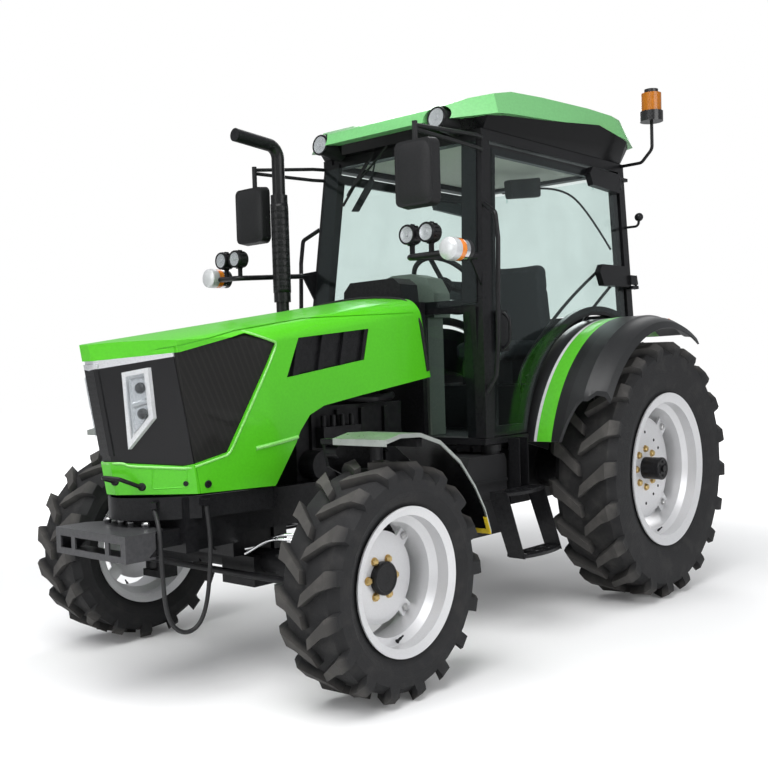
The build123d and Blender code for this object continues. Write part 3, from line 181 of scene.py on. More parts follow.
def seen_directly(tree):
    """1 for camera and transmission rays, else 0."""
    rays = new_node(tree, "LightPath").outputs
    return combine(tree, "MAXIMUM", rays["Is Camera Ray"], rays["Is Transmission Ray"])


def mix_surface(tree, share, first, second, output_name):
    """Mix two shaders by a share and send them to the output."""
    made = new_node(tree, "MixShader")
    wire(tree, (share, made.inputs[0]), (first.outputs[0], made.inputs[1]),
         (second.outputs[0], made.inputs[2]), (made.outputs[0], tree.nodes[output_name].inputs["Surface"]))


world = bpy.data.worlds.new("white studio")
world.use_nodes = True
scene.world = world
tree = world.node_tree
fill, plain = tree.nodes["Background"], new_node(tree, "Background")
dial(fill, ("Color", FILL_COLOUR), ("Strength", FILL_STRENGTH))
dial(plain, ("Color", PLAIN_WHITE))
mix_surface(tree, seen_directly(tree), fill, plain, "World Output")

floor_form = bmesh.new()
bmesh.ops.create_grid(floor_form, x_segments=1, y_segments=1, size=FLOOR_HALF)
floor = placed("floor", mesh_of("floor", floor_form))
floor_paint = bpy.data.materials.new("studio floor")
floor_paint.use_nodes = True
tree = floor_paint.node_tree
matt = tree.nodes["Principled BSDF"]
dial(matt, ("Base Color", FLOOR_GREY), ("Roughness", FLOOR_ROUGHNESS), ("Specular IOR Level", 0.0))
glow, both = new_node(tree, "Emission"), new_node(tree, "AddShader")
away = new_node(tree, "VectorMath", operation="LENGTH")
wire(tree, (new_node(tree, "TexCoord").outputs["Object"], away.inputs[0]))
rise = spread(tree, away.outputs["Value"], GLOW_FROM, GLOW_TO, GLOW_LOW, GLOW_HIGH)
wire(tree, (combine(tree, "MULTIPLY", seen_directly(tree), rise), glow.inputs["Strength"]),
     (matt.outputs[0], both.inputs[0]), (glow.outputs[0], both.inputs[1]),
     (both.outputs[0], tree.nodes["Material Output"].inputs["Surface"]))
floor.data.materials.append(floor_paint)

SOFT_BOXES = (  # name, place, target, width, height, watts
    ("key", (3.6, 1.2, 6.2), (0.2, 0.0, 1.0), 5.0, 5.0, 450.0),
    ("side", (0.5, 7.5, 3.6), (0.2, 0.4, 0.9), 5.0, 3.0, 190.0),
    ("nose", (8.0, -1.2, 2.6), (1.0, 0.0, 1.0), 3.0, 3.0, 60.0),
    ("back", (-5.5, -3.0, 5.0), (-0.5, 0.0, 1.2), 4.0, 4.0, 180.0),
)
for lamp_name, place, target, width, height, watts in SOFT_BOXES:
    lamp = bpy.data.lights.new(lamp_name, "AREA")
    lamp.shape = "RECTANGLE"
    lamp.size, lamp.size_y, lamp.energy = width, height, watts
    stand = placed(lamp_name, lamp)
    stand.location = place
    stand.rotation_euler = (Vector(target) - Vector(place)).to_track_quat("-Z", "Y").to_euler()
    print("soft box", lamp_name, watts, "W")

# %% [markdown]
# ## Finishes
# Every finish is one Principled shader with patterns on Object coordinates, so it stays put on a piece that
# moves. A real finish is never one flat colour: paint has a faint mottle and an orange-peel bump, cast iron
# has grain, rubber has a bloom.

# %% Write the helpers for finishes
COAT_ROUGHNESS = 0.06
PATCH_SHARE = 0.12  # patches to the metre, as a share of the grains to the metre
GLOSS_SWING = 0.07  # how far the roughness swings about its middle
GRAIN_STRENGTH = 0.35
EDGE_SOFT = 0.0004  # half width of the change between two bands, in metres
BAND_PATCHES, BAND_GRAIN, BAND_BUMP = 60.0, 900.0, 0.00004


def start_finish(name, colour, roughness, metallic=0.0, coat=0.0, specular=0.5):
    """A Principled material; returns it with its tree, shader and Object coordinates."""
    made = bpy.data.materials.new(name)
    made.use_nodes = True
    tree = made.node_tree
    shader = tree.nodes["Principled BSDF"]
    dial(shader, ("Base Color", (*colour, 1.0)), ("Roughness", roughness), ("Metallic", metallic),
         ("Coat Weight", coat), ("Coat Roughness", COAT_ROUGHNESS), ("Specular IOR Level", specular))
    return made, tree, shader, new_node(tree, "TexCoord").outputs["Object"]


def noise(tree, coords, scale, detail=3.0):
    """A smooth random pattern, scale bumps to the metre."""
    made = new_node(tree, "TexNoise")
    dial(made, ("Scale", scale), ("Detail", detail))
    wire(tree, (coords, made.inputs["Vector"]))
    return made.outputs["Fac"]


def blend_colours(tree, share, first, second):
    """Mix two colours, each a tuple or a socket, by a share from 0 to 1."""
    made = new_node(tree, "Mix", data_type="RGBA")
    for socket, colour in ((made.inputs[6], first), (made.inputs[7], second)):
        if isinstance(colour, tuple):
            socket.default_value = (*colour, 1.0)
        else:
            wire(tree, (colour, socket))
    wire(tree, (share, made.inputs[0]))
    return made.outputs[2]


def raise_bumps(tree, shader, height, strength, distance):
    """Let a pattern tilt the surface by up to distance, in metres."""
    made = new_node(tree, "Bump")
    dial(made, ("Strength", strength), ("Distance", distance))
    wire(tree, (height, made.inputs["Height"]), (made.outputs["Normal"], shader.inputs["Normal"]))


def grained(name, colour, shade, roughness, grain, bump, metallic=0.0, coat=0.0, specular=0.5):
    """The common finish: a mottled colour, an uneven gloss and a fine grain."""
    made, tree, shader, coords = start_finish(name, colour, roughness, metallic, coat, specular)
    patches = spread(tree, noise(tree, coords, grain * PATCH_SHARE), 0.35, 0.65, 0.0, 1.0)
    fine = noise(tree, coords, grain, 4.0)
    gloss = spread(tree, fine, 0.3, 0.7, roughness - GLOSS_SWING, roughness + GLOSS_SWING)
    wire(tree, (blend_colours(tree, patches, shade, colour), shader.inputs["Base Color"]),
         (gloss, shader.inputs["Roughness"]))
    raise_bumps(tree, shader, fine, GRAIN_STRENGTH, bump)
    return made


def part_of(tree, coords, axis, edge, both_sides):
    """A share that goes from 0 to 1 where one Object coordinate passes an edge."""
    apart = new_node(tree, "SeparateXYZ")
    wire(tree, (coords, apart.inputs[0]))
    value = apart.outputs[axis]
    if both_sides:
        value = combine(tree, "ABSOLUTE", value)
    return spread(tree, value, edge - EDGE_SOFT, edge + EDGE_SOFT, 0.0, 1.0)


def banded(name, axis, bands, roughness, both_sides=False, coat=0.0):
    """A finish in bands across one direction: the first colour, then (edge, colour) pairs outward."""
    made, tree, shader, coords = start_finish(name, bands[0], roughness, coat=coat, specular=0.35)
    colour = bands[0]
    for edge, after in bands[1:]:
        colour = blend_colours(tree, part_of(tree, coords, axis, edge, both_sides), colour, after)
    patches = spread(tree, noise(tree, coords, BAND_PATCHES), 0.3, 0.7, 0.9, 1.0)
    dim = blend_colours(tree, patches, (0.0, 0.0, 0.0), colour)
    wire(tree, (dim, shader.inputs["Base Color"]))
    raise_bumps(tree, shader, noise(tree, coords, BAND_GRAIN, 4.0), GRAIN_STRENGTH, BAND_BUMP)
    return made


GRAINED = (  # name, colour, shade, roughness, grains to the metre, bump in metres, metallic, coat, specular
    ("green paint", (0.085, 0.53, 0.01), (0.079, 0.5, 0.009), 0.36, 900, 0.00002, 0.0, 0.2, 0.4),
    ("roof green", (0.15, 0.45, 0.155), (0.135, 0.41, 0.14), 0.36, 700, 0.00003, 0.0, 0.2),
    # a lighter green: a painted highlight for the bonnet's bead and crease
    ("green painted highlight", (0.23, 0.66, 0.13), (0.2, 0.6, 0.11), 0.25, 900, 0.00002, 0.0, 0.8),
    ("satin black", (0.011, 0.011, 0.012), (0.007, 0.007, 0.008), 0.32, 600, 0.00005, 0.0, 0.0, 0.24),
    ("deep black", (0.004, 0.004, 0.005), (0.003, 0.003, 0.003), 0.22, 900, 0.00003, 0.0, 0.0, 0.12),
    ("cast black", (0.012, 0.012, 0.013), (0.006, 0.006, 0.007), 0.45, 260, 0.0004, 0.0, 0.0, 0.25),
    ("moulded black", (0.016, 0.016, 0.017), (0.012, 0.012, 0.013), 0.46, 1400, 0.00008, 0.0, 0.0, 0.22),
    ("bumper grey", (0.062, 0.062, 0.065), (0.05, 0.05, 0.053), 0.34, 500, 0.00006, 0.0, 0.0, 0.35),
    ("grey plastic", (0.05, 0.051, 0.054), (0.04, 0.041, 0.044), 0.48, 1400, 0.00008, 0.0, 0.0, 0.25),
    ("dash plastic", (0.16, 0.18, 0.15), (0.13, 0.15, 0.125), 0.6, 1400, 0.0001),
    ("wheel silver", (0.7, 0.7, 0.71), (0.675, 0.675, 0.685), 0.34, 1400, 0.00002, 0.35),
    ("guard steel", (0.5, 0.53, 0.5), (0.42, 0.45, 0.42), 0.34, 60, 0.00006, 0.8),
    ("zinc gold", (0.62, 0.46, 0.2), (0.5, 0.34, 0.13), 0.34, 500, 0.00005, 0.9),
    ("bare steel", (0.6, 0.6, 0.6), (0.48, 0.48, 0.48), 0.3, 500, 0.00004, 1.0),
    ("chrome", (0.78, 0.79, 0.8), (0.72, 0.73, 0.74), 0.14, 300, 0.00001, 1.0),
    ("lining felt", (0.8, 0.77, 0.7), (0.74, 0.71, 0.64), 0.9, 900, 0.0006),
    ("seat cloth", (0.03, 0.034, 0.038), (0.022, 0.025, 0.028), 0.85, 1500, 0.0003, 0.0, 0.0, 0.2),
    ("reflector", (0.62, 0.63, 0.64), (0.56, 0.57, 0.58), 0.24, 900, 0.00001, 0.6),
    ("lamp silver", (0.66, 0.67, 0.68), (0.62, 0.63, 0.64), 0.3, 900, 0.00001, 0.35),
    ("amber lens", (0.85, 0.25, 0.01), (0.7, 0.18, 0.01), 0.16, 300, 0.00003, 0.0, 0.8),
    ("yellow paint", (0.75, 0.55, 0.02), (0.62, 0.45, 0.02), 0.45, 600, 0.00005),
    ("cord rubber", (0.015, 0.015, 0.016), (0.01, 0.01, 0.011), 0.6, 900, 0.0001),
)
FINISHES = {row[0]: grained(*row) for row in GRAINED}
GREEN, SILVER, AMBER = (0.095, 0.5, 0.02), (0.6, 0.6, 0.62), (0.4, 0.125, 0.004)
BLACK, FLARE_DARK, FLARE_GREY = (0.014, 0.014, 0.015), (0.008, 0.008, 0.009), (0.015, 0.0155, 0.0165)
BANDED = (  # name, axis of the bands, colours with the edges between them, roughness, both sides, coat
    ("mudguard green", "Y", (BLACK, (0.615, SILVER), (0.631, GREEN)), 0.3, True, 0.3),
    ("flare grey", "Y", (GREEN, (0.715, FLARE_DARK), (0.772, FLARE_GREY)), 0.42, True, 0.0),
    ("beacon bands", "Z", (BLACK, (2.6025, AMBER), (2.7, BLACK)), 0.24, False, 0.15),
    ("lamp bands", "X", ((0.8, 0.2, 0.01), (-0.5, BLACK)), 0.36, False, 0.0),
)
for row in BANDED:
    FINISHES[row[0]] = banded(*row)

SEAM_LEAN, SEAM_X = -0.195, 1.454  # the nose lies where x + SEAM_LEAN * z passes SEAM_X
STRIP_FALL, STRIP_Z = -0.165, 1.262  # the strip lies where z + STRIP_FALL * |y| passes STRIP_Z
EDGE_HALF = 0.0005
WEAVE_SCALE = 260.0
FLANK_BLACK, MESH_BLACK, NOSE_BLACK = (0.012, 0.0115, 0.0105), (0.003, 0.003, 0.003), (0.01, 0.01, 0.011)
STRIP_CHROME = (0.8, 0.81, 0.83)


def face_black():
    """Gloss black on the nose, fine mesh on the flanks, a bright strip under the lip."""
    made, tree, shader, coords = start_finish("face black", BLACK, 0.3, coat=0.12, specular=0.22)
    apart = new_node(tree, "SeparateXYZ")
    wire(tree, (coords, apart.inputs[0]))
    x, y, z = (apart.outputs[axis] for axis in "XYZ")
    slant = combine(tree, "MULTIPLY_ADD", z, SEAM_LEAN, x)
    front = spread(tree, slant, SEAM_X - EDGE_HALF, SEAM_X + EDGE_HALF, 0.0, 1.0)
    grille = new_node(tree, "TexVoronoi", feature="DISTANCE_TO_EDGE")
    dial(grille, ("Scale", WEAVE_SCALE), ("Randomness", 0.15))
    wire(tree, (coords, grille.inputs["Vector"]))
    woven = spread(tree, grille.outputs["Distance"], 0.05, 0.25, 0.0, 1.0)
    fall = combine(tree, "MULTIPLY_ADD", combine(tree, "ABSOLUTE", y), STRIP_FALL, z)
    strip = spread(tree, fall, STRIP_Z - EDGE_HALF, STRIP_Z + EDGE_HALF, 0.0, 1.0)
    bright = combine(tree, "MULTIPLY", strip, front)
    flank = blend_colours(tree, woven, FLANK_BLACK, MESH_BLACK)
    shell = blend_colours(tree, front, flank, NOSE_BLACK)
    wire(tree, (blend_colours(tree, bright, shell, STRIP_CHROME), shader.inputs["Base Color"]),
         (bright, shader.inputs["Metallic"]),
         (spread(tree, front, 0.0, 1.0, 0.55, 0.16), shader.inputs["Roughness"]))
    raise_bumps(tree, shader, woven, 0.5, 0.0004)
    return made


FINISHES["face black"] = face_black()
print(len(FINISHES), "common finishes")

# %% [markdown]
# ## Rubber
# A new tyre is dark grey-black, paler towards the tips of its lugs, with a faint paler bloom, and fine
# moulding rings round its side. The rings follow the distance from the wheel's own centre, so each wheel has
# its own Mapping.

# %% Mix the rubber for one wheel
WHEELS = (  # name, centre, outer radius
    ("front_left", (1.18, 0.8, 0.448), 0.448),
    ("front_right", (1.18, -0.8, 0.448), 0.448),
    ("rear_left", (-0.93, 0.788, 0.668), 0.668),
    ("rear_right", (-0.93, -0.788, 0.668), 0.668),
)
RUBBER, RUBBER_DARK, RUBBER_PALE = (0.03, 0.029, 0.029), (0.022, 0.022, 0.023), (0.095, 0.09, 0.084)
RING_STEP = 0.006  # half of the distance between two moulding rings
RING_HEIGHT = 160.0  # how strongly the rings stand against the grain
TIP_SHARE = 0.75  # how much paler a lug is at its tip


def tyre_rubber(name, centre, radius):
    """Rubber with moulding rings about one wheel's axle."""
    made, tree, shader, coords = start_finish("rubber " + name, RUBBER, 0.72, specular=0.18)
    place = new_node(tree, "Mapping")
    dial(place, ("Location", [-c for c in centre]))
    flat = new_node(tree, "VectorMath", operation="MULTIPLY")
    dial(flat, (1, (1.0, 0.0, 1.0)))
    away = new_node(tree, "VectorMath", operation="LENGTH")
    wire(tree, (coords, place.inputs["Vector"]), (place.outputs[0], flat.inputs[0]),
         (flat.outputs[0], away.inputs[0]))
    out = away.outputs["Value"]
    tips = spread(tree, out, radius * 0.9, radius * 0.99, 0.0, 1.0)
    bloom = spread(tree, noise(tree, coords, 14.0, 5.0), 0.42, 0.7, 0.0, 0.3)
    share = spread(tree, combine(tree, "MULTIPLY_ADD", tips, TIP_SHARE, bloom), 0.0, 1.5, 0.0, 1.0)
    side_only = spread(tree, out, radius * 0.8, radius * 0.86, RING_HEIGHT, 0.0)
    rings = combine(tree, "MULTIPLY", combine(tree, "PINGPONG", out, RING_STEP), side_only)
    grain = noise(tree, coords, 320.0, 4.0)
    raise_bumps(tree, shader, combine(tree, "ADD", rings, grain), 0.5, 0.0006)
    wire(tree, (blend_colours(tree, share, RUBBER_DARK, RUBBER_PALE), shader.inputs["Base Color"]),
         (spread(tree, grain, 0.3, 0.7, 0.6, 0.8), shader.inputs["Roughness"]))
    return made


for wheel, centre, radius in WHEELS:
    FINISHES["rubber " + wheel] = tyre_rubber(wheel, centre, radius)
print("rubber for", len(WHEELS), "tyres")

# %% [markdown]
# ## Glass and lenses
# Cab glass is thin and faintly green. A pane that bends light as a thick block would darken the cab, so it
# mixes a tinted transparent shader, which lets light straight through, with a glossy one that grows towards
# the edge of view, as real reflections do.

# %% Mix glass and lenses
MIRROR_WHITE = (0.9, 0.95, 0.95)
STEEPNESS = 5.0  # how late the reflection grows towards the edge of view


def pane(name, tint, straight):
    """Thin glass: tint is what one surface lets through, straight is what it reflects seen square on."""
    made, tree, shader, coords = start_finish(name, MIRROR_WHITE, 0.02, metallic=1.0)
    clear, facing = new_node(tree, "BsdfTransparent"), new_node(tree, "LayerWeight")
    dial(facing, ("Blend", 0.5))
    haze = spread(tree, noise(tree, coords, 3.0), 0.3, 0.7, 0.97, 1.0)
    wire(tree, (blend_colours(tree, haze, (0.0, 0.0, 0.0), tint), clear.inputs["Color"]))
    steep = combine(tree, "POWER", facing.outputs["Facing"], STEEPNESS)
    edge = combine(tree, "MULTIPLY_ADD", steep, 1.0 - straight, straight)
    mix_surface(tree, edge, clear, shader, "Material Output")
    return made


FINISHES["cab glass"] = pane("cab glass", (0.9, 0.945, 0.935), 0.022)
FINISHES["clear lens"] = pane("clear lens", (0.95, 0.96, 0.97), 0.04)
print("glass and lenses mixed")

# %% [markdown]
# ## Painting the solids
# Each CAD node keeps its shape and takes a finish. Its mesh is loose triangles, so one modifier first welds
# them and shades them smooth up to a set angle: a small geometry node group does both, and works on any
# node.

# %% Build the smoothing group and paint the nodes
WELD = 0.00004  # points closer than this become one
SMOOTH_BELOW = 28  # degrees between two faces, below which they are shaded as one


def smoothing_group():
    """A geometry node group that welds loose triangles and smooths shallow edges."""
    group = bpy.data.node_groups.new("weld and smooth", "GeometryNodeTree")
    for direction in ("INPUT", "OUTPUT"):
        group.interface.new_socket("Geometry", in_out=direction, socket_type="NodeSocketGeometry")
    start, end, weld, faces, edges, corner, steep = (group.nodes.new(kind) for kind in (
        "NodeGroupInput", "NodeGroupOutput", "GeometryNodeMergeByDistance", "GeometryNodeSetShadeSmooth",
        "GeometryNodeSetShadeSmooth", "GeometryNodeInputMeshEdgeAngle", "FunctionNodeCompare"))
    dial(weld, ("Distance", WELD))
    edges.domain = "EDGE"
    dial(edges, ("Shade Smooth", False))
    steep.data_type, steep.operation = "FLOAT", "GREATER_THAN"
    dial(steep, ("B", math.radians(SMOOTH_BELOW)))
    wire(group, (start.outputs[0], weld.inputs["Geometry"]), (weld.outputs[0], faces.inputs["Geometry"]),
         (faces.outputs[0], edges.inputs["Geometry"]), (corner.outputs["Unsigned Angle"], steep.inputs["A"]),
         (steep.outputs[0], edges.inputs["Selection"]), (edges.outputs[0], end.inputs[0]))
    return group


def smoothed(made):
    """Let an object's mesh be welded and smoothed."""
    made.modifiers.new("weld and smooth", "NODES").node_group = smoothing


smoothing = smoothing_group()
PAINTED = {  # finish: its nodes, where a name that ends with _ stands for a left and a right one
    "green paint": "hood_shell",
    "roof green": "roof_shell",
    "satin black": "front_frame cab_frame cab_floor door_frame_ exhaust grab_rails steps lamp_arms "
                   "hood_fittings knuckle_ lower_links hub_front_ hub_rear_ hitch",
    "cast black": "front_axle engine gearbox drive_shaft tie_rod",
    "deep black": "roof_trim",
    "moulded black": "mirrors fuel_tank seat_base steering_wheel seat",
    "bumper grey": "front_bumper",
    "dash plastic": "dashboard",
    "wheel silver": "rim_front_ rim_rear_",
    "lining felt": "headliner",
    "bare steel": "pto_shaft",
    "cab glass": "front_glass rear_window door_glass_",
    "lamp silver": "headlamps",
    "guard steel": "front_fender_",
    "face black": "hood_face",
    "mudguard green": "fenders",
    "flare grey": "fender_flares",
    "beacon bands": "beacon",
    "lamp bands": "lamps",
    **{"rubber " + wheel: "tyre_" + wheel for wheel, *_ in WHEELS},
}
painted = 0
for finish_name, members in PAINTED.items():
    for member in members.split():
        for name in [member + label for label, _ in SIDES] if member.endswith("_") else [member]:
            solid = nodes[name]
            solid.data.materials.clear()
            solid.data.materials.append(FINISHES[finish_name])
            smoothed(solid)
            painted += 1
print(painted, "nodes painted of", len(nodes))

# %% [markdown]
# ## Tools for small pieces
# Most small pieces are turned, pressed or bent. A turned piece is a line of radius and height spun about an
# axle, a pressed one is an outline given a thickness, and a bent one is a round bar along a curve. Each is
# made once near the origin and stamped where it belongs, then welded, turned outwards and bevelled.

# %% Write the helpers for pieces
MERGE = 0.00002  # points closer than this become one
CHASSIS_METAL = ("satin black", "chassis", "black_metal")  # finish, body, slot
CHASSIS_PLASTIC = ("moulded black", "chassis", "black_plastic")
WASHER_SHARE, WASHER_TOP = 0.72, 0.2  # washer radius to width of nut, its share of the height
CHAMFER_AT, CHAMFER_SHARE = 0.88, 0.86  # where the chamfer starts, what it leaves of the radius
STUD_R, STUD_CHAMFER = 0.0095, 0.002


def frame_at(place, direction=(0, 0, 1)):
    """A matrix that puts +Z along a direction, at a place."""
    return Matrix.Translation(place) @ Vector(direction).to_track_quat("Z", "Y").to_matrix().to_4x4()


def stamp(form, part, place=Matrix()):
    """Copy one small form into another at a place."""
    scratch = bpy.data.meshes.new("scratch")
    part.to_mesh(scratch)
    scratch.transform(place)
    form.from_mesh(scratch)
    bpy.data.meshes.remove(scratch)


def turned(profile, steps=24):
    """Spin a line of (radius, height) about +Z."""
    form = bmesh.new()
    points = [form.verts.new((radius, 0.0, height)) for radius, height in profile]
    edges = [form.edges.new(pair) for pair in zip(points, points[1:])]
    bmesh.ops.spin(form, geom=points + edges, axis=(0, 0, 1), angle=math.tau, steps=steps, use_merge=True)
    bmesh.ops.remove_doubles(form, verts=form.verts, dist=MERGE)
    return form


def push(form, grown, vec):
    """Move the points that an extrusion has made."""
    points = [item for item in grown["geom"] if isinstance(item, bmesh.types.BMVert)]
    bmesh.ops.translate(form, verts=points, vec=vec)


def pressed(points, thickness):
    """Give an outline a thickness, a vector."""
    form = bmesh.new()
    face = form.faces.new([form.verts.new(point) for point in points])
    push(form, bmesh.ops.extrude_face_region(form, geom=[face]), thickness)
    return form


def nut(across, height, stud=0.0):
    """A chamfered hexagon on a round washer, standing on z = 0, with the end of its stud."""
    washer_r, washer_top = across * WASHER_SHARE, height * WASHER_TOP
    form = turned(((0.0, 0.0), (washer_r, 0.0), (washer_r, washer_top), (0.0, washer_top)), 16)
    radius = across / math.sqrt(3)
    for low, high, last in ((WASHER_TOP, CHAMFER_AT, radius), (CHAMFER_AT, 1.0, radius * CHAMFER_SHARE)):
        bmesh.ops.create_cone(
            form, cap_ends=True, segments=6, radius1=radius, radius2=last, depth=height * (high - low),
            matrix=Matrix.Translation((0, 0, height * (low + high) / 2)))
    if stud:
        tip_r = STUD_R - STUD_CHAMFER
        shank = ((STUD_R, height * 0.5), (STUD_R, stud - STUD_CHAMFER), (tip_r, stud), (0.0, stud))
        stamp(form, turned(shank, 12))
    return form


def settle(name, form, finish, body, slot_name, bevel=0.0):
    """Weld a form, turn it outwards, and let it ride on a body with its finish."""
    bmesh.ops.remove_doubles(form, verts=form.verts, dist=MERGE)
    bmesh.ops.recalc_face_normals(form, faces=form.faces)
    made = placed(name, mesh_of(name, form))
    made.data.materials.append(FINISHES[finish])
    if bevel:
        edge = made.modifiers.new("edges", "BEVEL")
        edge.width, edge.segments, edge.limit_method = bevel, 2, "ANGLE"
    smoothed(made)
    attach(made, body)
    return made


def bent_bar(name, route, radius, finish, body, slot_name):
    """A round bar along a curve, riding on a body."""
    made, _ = nurbs(name, route, radius)
    made.data.materials.append(FINISHES[finish])
    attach(made, body)


def skin_of(node):
    """A tree of a CAD node's faces, for rays that land on its skin."""
    mesh = nodes[node].data
    faces = [tuple(face.vertices) for face in mesh.polygons]
    return BVHTree.FromPolygons([vertex.co for vertex in mesh.vertices], faces)


def land(skin, start, direction, lift=0.0):
    """Where a ray first meets a skin, lifted towards its start, and the outward normal there."""
    place, normal, _, _ = skin.ray_cast(Vector(start), Vector(direction).normalized())
    if place is None:
        return None, None
    if normal.dot(Vector(direction)) > 0:
        normal.negate()
    return place + normal * lift, normal


def trail(skin, starts, direction, lift=0.0):
    """Where a row of rays lands on a skin, without those that miss it."""
    found = [land(skin, start, direction, lift)[0] for start in starts]
    return [place for place in found if place is not None]


def between(first, last, count):
    """Evenly spaced points along a straight line, both ends included."""
    return [Vector(first).lerp(Vector(last), step / (count - 1)) for step in range(count)]


def along(corners, count):
    """Evenly spaced points along each side of an open line of corners."""
    found = [Vector(corners[0])]
    for first, last in zip(corners, corners[1:]):
        found += between(first, last, count)[1:]
    return found


bonnet = skin_of("hood_shell")
print("helpers ready")

# %% [markdown]
# ## The nose
# The bonnet skin is pressed steel. Its opening for the dark face has a rolled bead that catches the light,
# and the flank has a pressed crease. Both are bars half sunk in the skin, placed by rays that land on the
# panel, and painted a lighter green: a painted highlight along them.

# %% Roll the beads and the crease of the bonnet
BEAD = ((1.412, 1.402), (1.262, 1.352), (1.484, 0.925), (1.656, 0.883), (1.8, 0.898))  # (x, z) on the flank
CREASE = ((1.366, 0.939), (1.151, 0.969))
CHIN_ROW, CHIN_Z = [0.2 - 0.033 * step for step in range(7)], 0.91
RECESS = ((0.15, 0.893), (0.245, 0.88), (0.235, 0.812), (0.135, 0.808), (0.15, 0.893))  # (y, z), chin
AHEAD, BACKWARD = 2.2, (-1, 0, 0)  # rays towards the nose start ahead of it
SUNK, RECESS_SUNK, SEAL_LIFT = -0.0015, -0.0012, 0.002
for label, side in SIDES:
    for kind, corners, radius in (("bead", BEAD, 0.0055), ("crease", CREASE, 0.0085)):
        route = trail(bonnet, [(x, side, z) for x, z in along(corners, 7)], (0, -side, 0), SUNK)
        if kind == "bead":
            route += trail(bonnet, [(AHEAD, side * y, CHIN_Z) for y in CHIN_ROW], BACKWARD, SUNK)
        # the bead and crease are painted a lighter green, a painted highlight where they catch the light
        bent_bar(f"bonnet_{kind}_{label}", route, radius, "green painted highlight", "hood", "green_paint")
    route = trail(bonnet, [(AHEAD, side * y, z) for y, z in along(RECESS, 5)], BACKWARD, RECESS_SUNK)
    bent_bar(f"chin_recess_{label}", route, 0.003, "green paint", "hood", "green_paint")
rear_edge = [(0.305 + (z - 1.191) * 0.242, z) for z in (1.22, 1.3, 1.38, 1.45)]
seal_route = trail(bonnet, [(x, 1, z) for x, z in rear_edge], (0, -1, 0), SEAL_LIFT)
seal_route += trail(bonnet, [(0.402, 0.3 - step * 0.06, 2.0) for step in range(11)], (0, 0, -1), SEAL_LIFT)
seal_route += trail(bonnet, [(x, -1, z) for x, z in reversed(rear_edge)], (0, 1, 0), SEAL_LIFT)
buttons = bmesh.new()
for _, side in SIDES:
    for x, z, button_r in ((1.653, 0.826, 0.01), (1.577, 0.818, 0.015)):
        place, outward = land(bonnet, (x, side, z), (0, -side, 0))
        button = turned(((button_r, -0.002), (button_r, 0.003), (button_r * 0.85, 0.005),
                         (button_r * 0.6, 0.005), (button_r * 0.55, 0.003), (0.0, 0.003)), 20)
        stamp(buttons, button, frame_at(place, outward))
settle("bonnet_locks", buttons, "satin black", "hood", "black_metal")
feet = bmesh.new()
for x, y, z in ((1.833, 0.034, 0.841), (1.768, 0.108, 0.818)):
    place, outward = land(bonnet, (AHEAD, y, z), BACKWARD)
    foot = turned(((0.0, 0.006), (0.01, 0.006), (0.015, 0.003), (0.017, -0.002)), 16)
    stamp(feet, foot, frame_at(place, outward))
settle("handle_feet", feet, "satin black", "hood", "black_metal")
bent_bar("bonnet_rear_seal", seal_route, 0.0085, "moulded black", "hood", "black_plastic")
print("beads, creases and the rear seal laid")

# %% [markdown]
# ## Headlamps
# Each headlamp is a moulded tray with two deep reflectors, a round lamp in each, and a clear cover. The
# reflectors are square funnels, drawn in by insets, and a slanted rib stands between them.

# %% Build the headlamps
TRAY = ((0.126, 1.236), (0.181, 1.248), (0.17, 1.086), (0.106, 1.0))
POCKETS = (((0.127, 1.228), (0.177, 1.238), (0.172, 1.15), (0.122, 1.134)),
           ((0.121, 1.122), (0.171, 1.138), (0.167, 1.086), (0.112, 1.02)))
POCKET_LIFT, COVER_LIFT = 0.0065, 0.0125
RIM_WIDTH, SLOPE_WIDTH, FUNNEL_DEPTH = 0.004, 0.01, 0.0055
UNIT = ((0.0, 0.01), (0.011, 0.009), (0.017, 0.004), (0.0195, 0.0045), (0.021, 0.0), (0.021, -0.004))
lamp_skin = skin_of("headlamps")
trays, rounds, covers = bmesh.new(), bmesh.new(), bmesh.new()
for _, side in SIDES:
    for pocket in POCKETS:
        corners = trail(lamp_skin, [(AHEAD, side * y, z) for y, z in pocket], BACKWARD, POCKET_LIFT)
        funnel = bmesh.new()
        face = funnel.faces.new([funnel.verts.new(corner) for corner in corners])
        for width in (RIM_WIDTH, SLOPE_WIDTH):
            bmesh.ops.inset_individual(funnel, faces=[face], thickness=width, depth=0.0)
        middle = face.calc_center_median()
        outward = Vector((0.9, side * 0.35, 0.0)).normalized()
        bmesh.ops.translate(funnel, verts=face.verts, vec=outward * -FUNNEL_DEPTH)
        stamp(trays, funnel)
        shift = Vector((0.0, side * 0.008, 0.006))
        stamp(rounds, turned(UNIT, 20), frame_at(middle + shift - outward * 0.004, outward))
    glass = trail(lamp_skin, [(AHEAD, side * y, z) for y, z in TRAY], BACKWARD, COVER_LIFT)
    stamp(covers, pressed(glass, Vector((-0.003, side * -0.001, 0.0))))
settle("headlamp_reflectors", trays, "reflector", "hood", "lamp_lens")
settle("headlamp_units", rounds, "grey plastic", "hood", "lamp_lens")
settle("headlamp_covers", covers, "clear lens", "hood", "lamp_lens", bevel=0.001)
print("headlamps built")

# %% [markdown]
# ## Wheels
# The discs are held by zinc-plated nuts on washers, and the ears of each rim by plain ones. A tyre valve
# stands in the rim. Everything turns with its wheel.

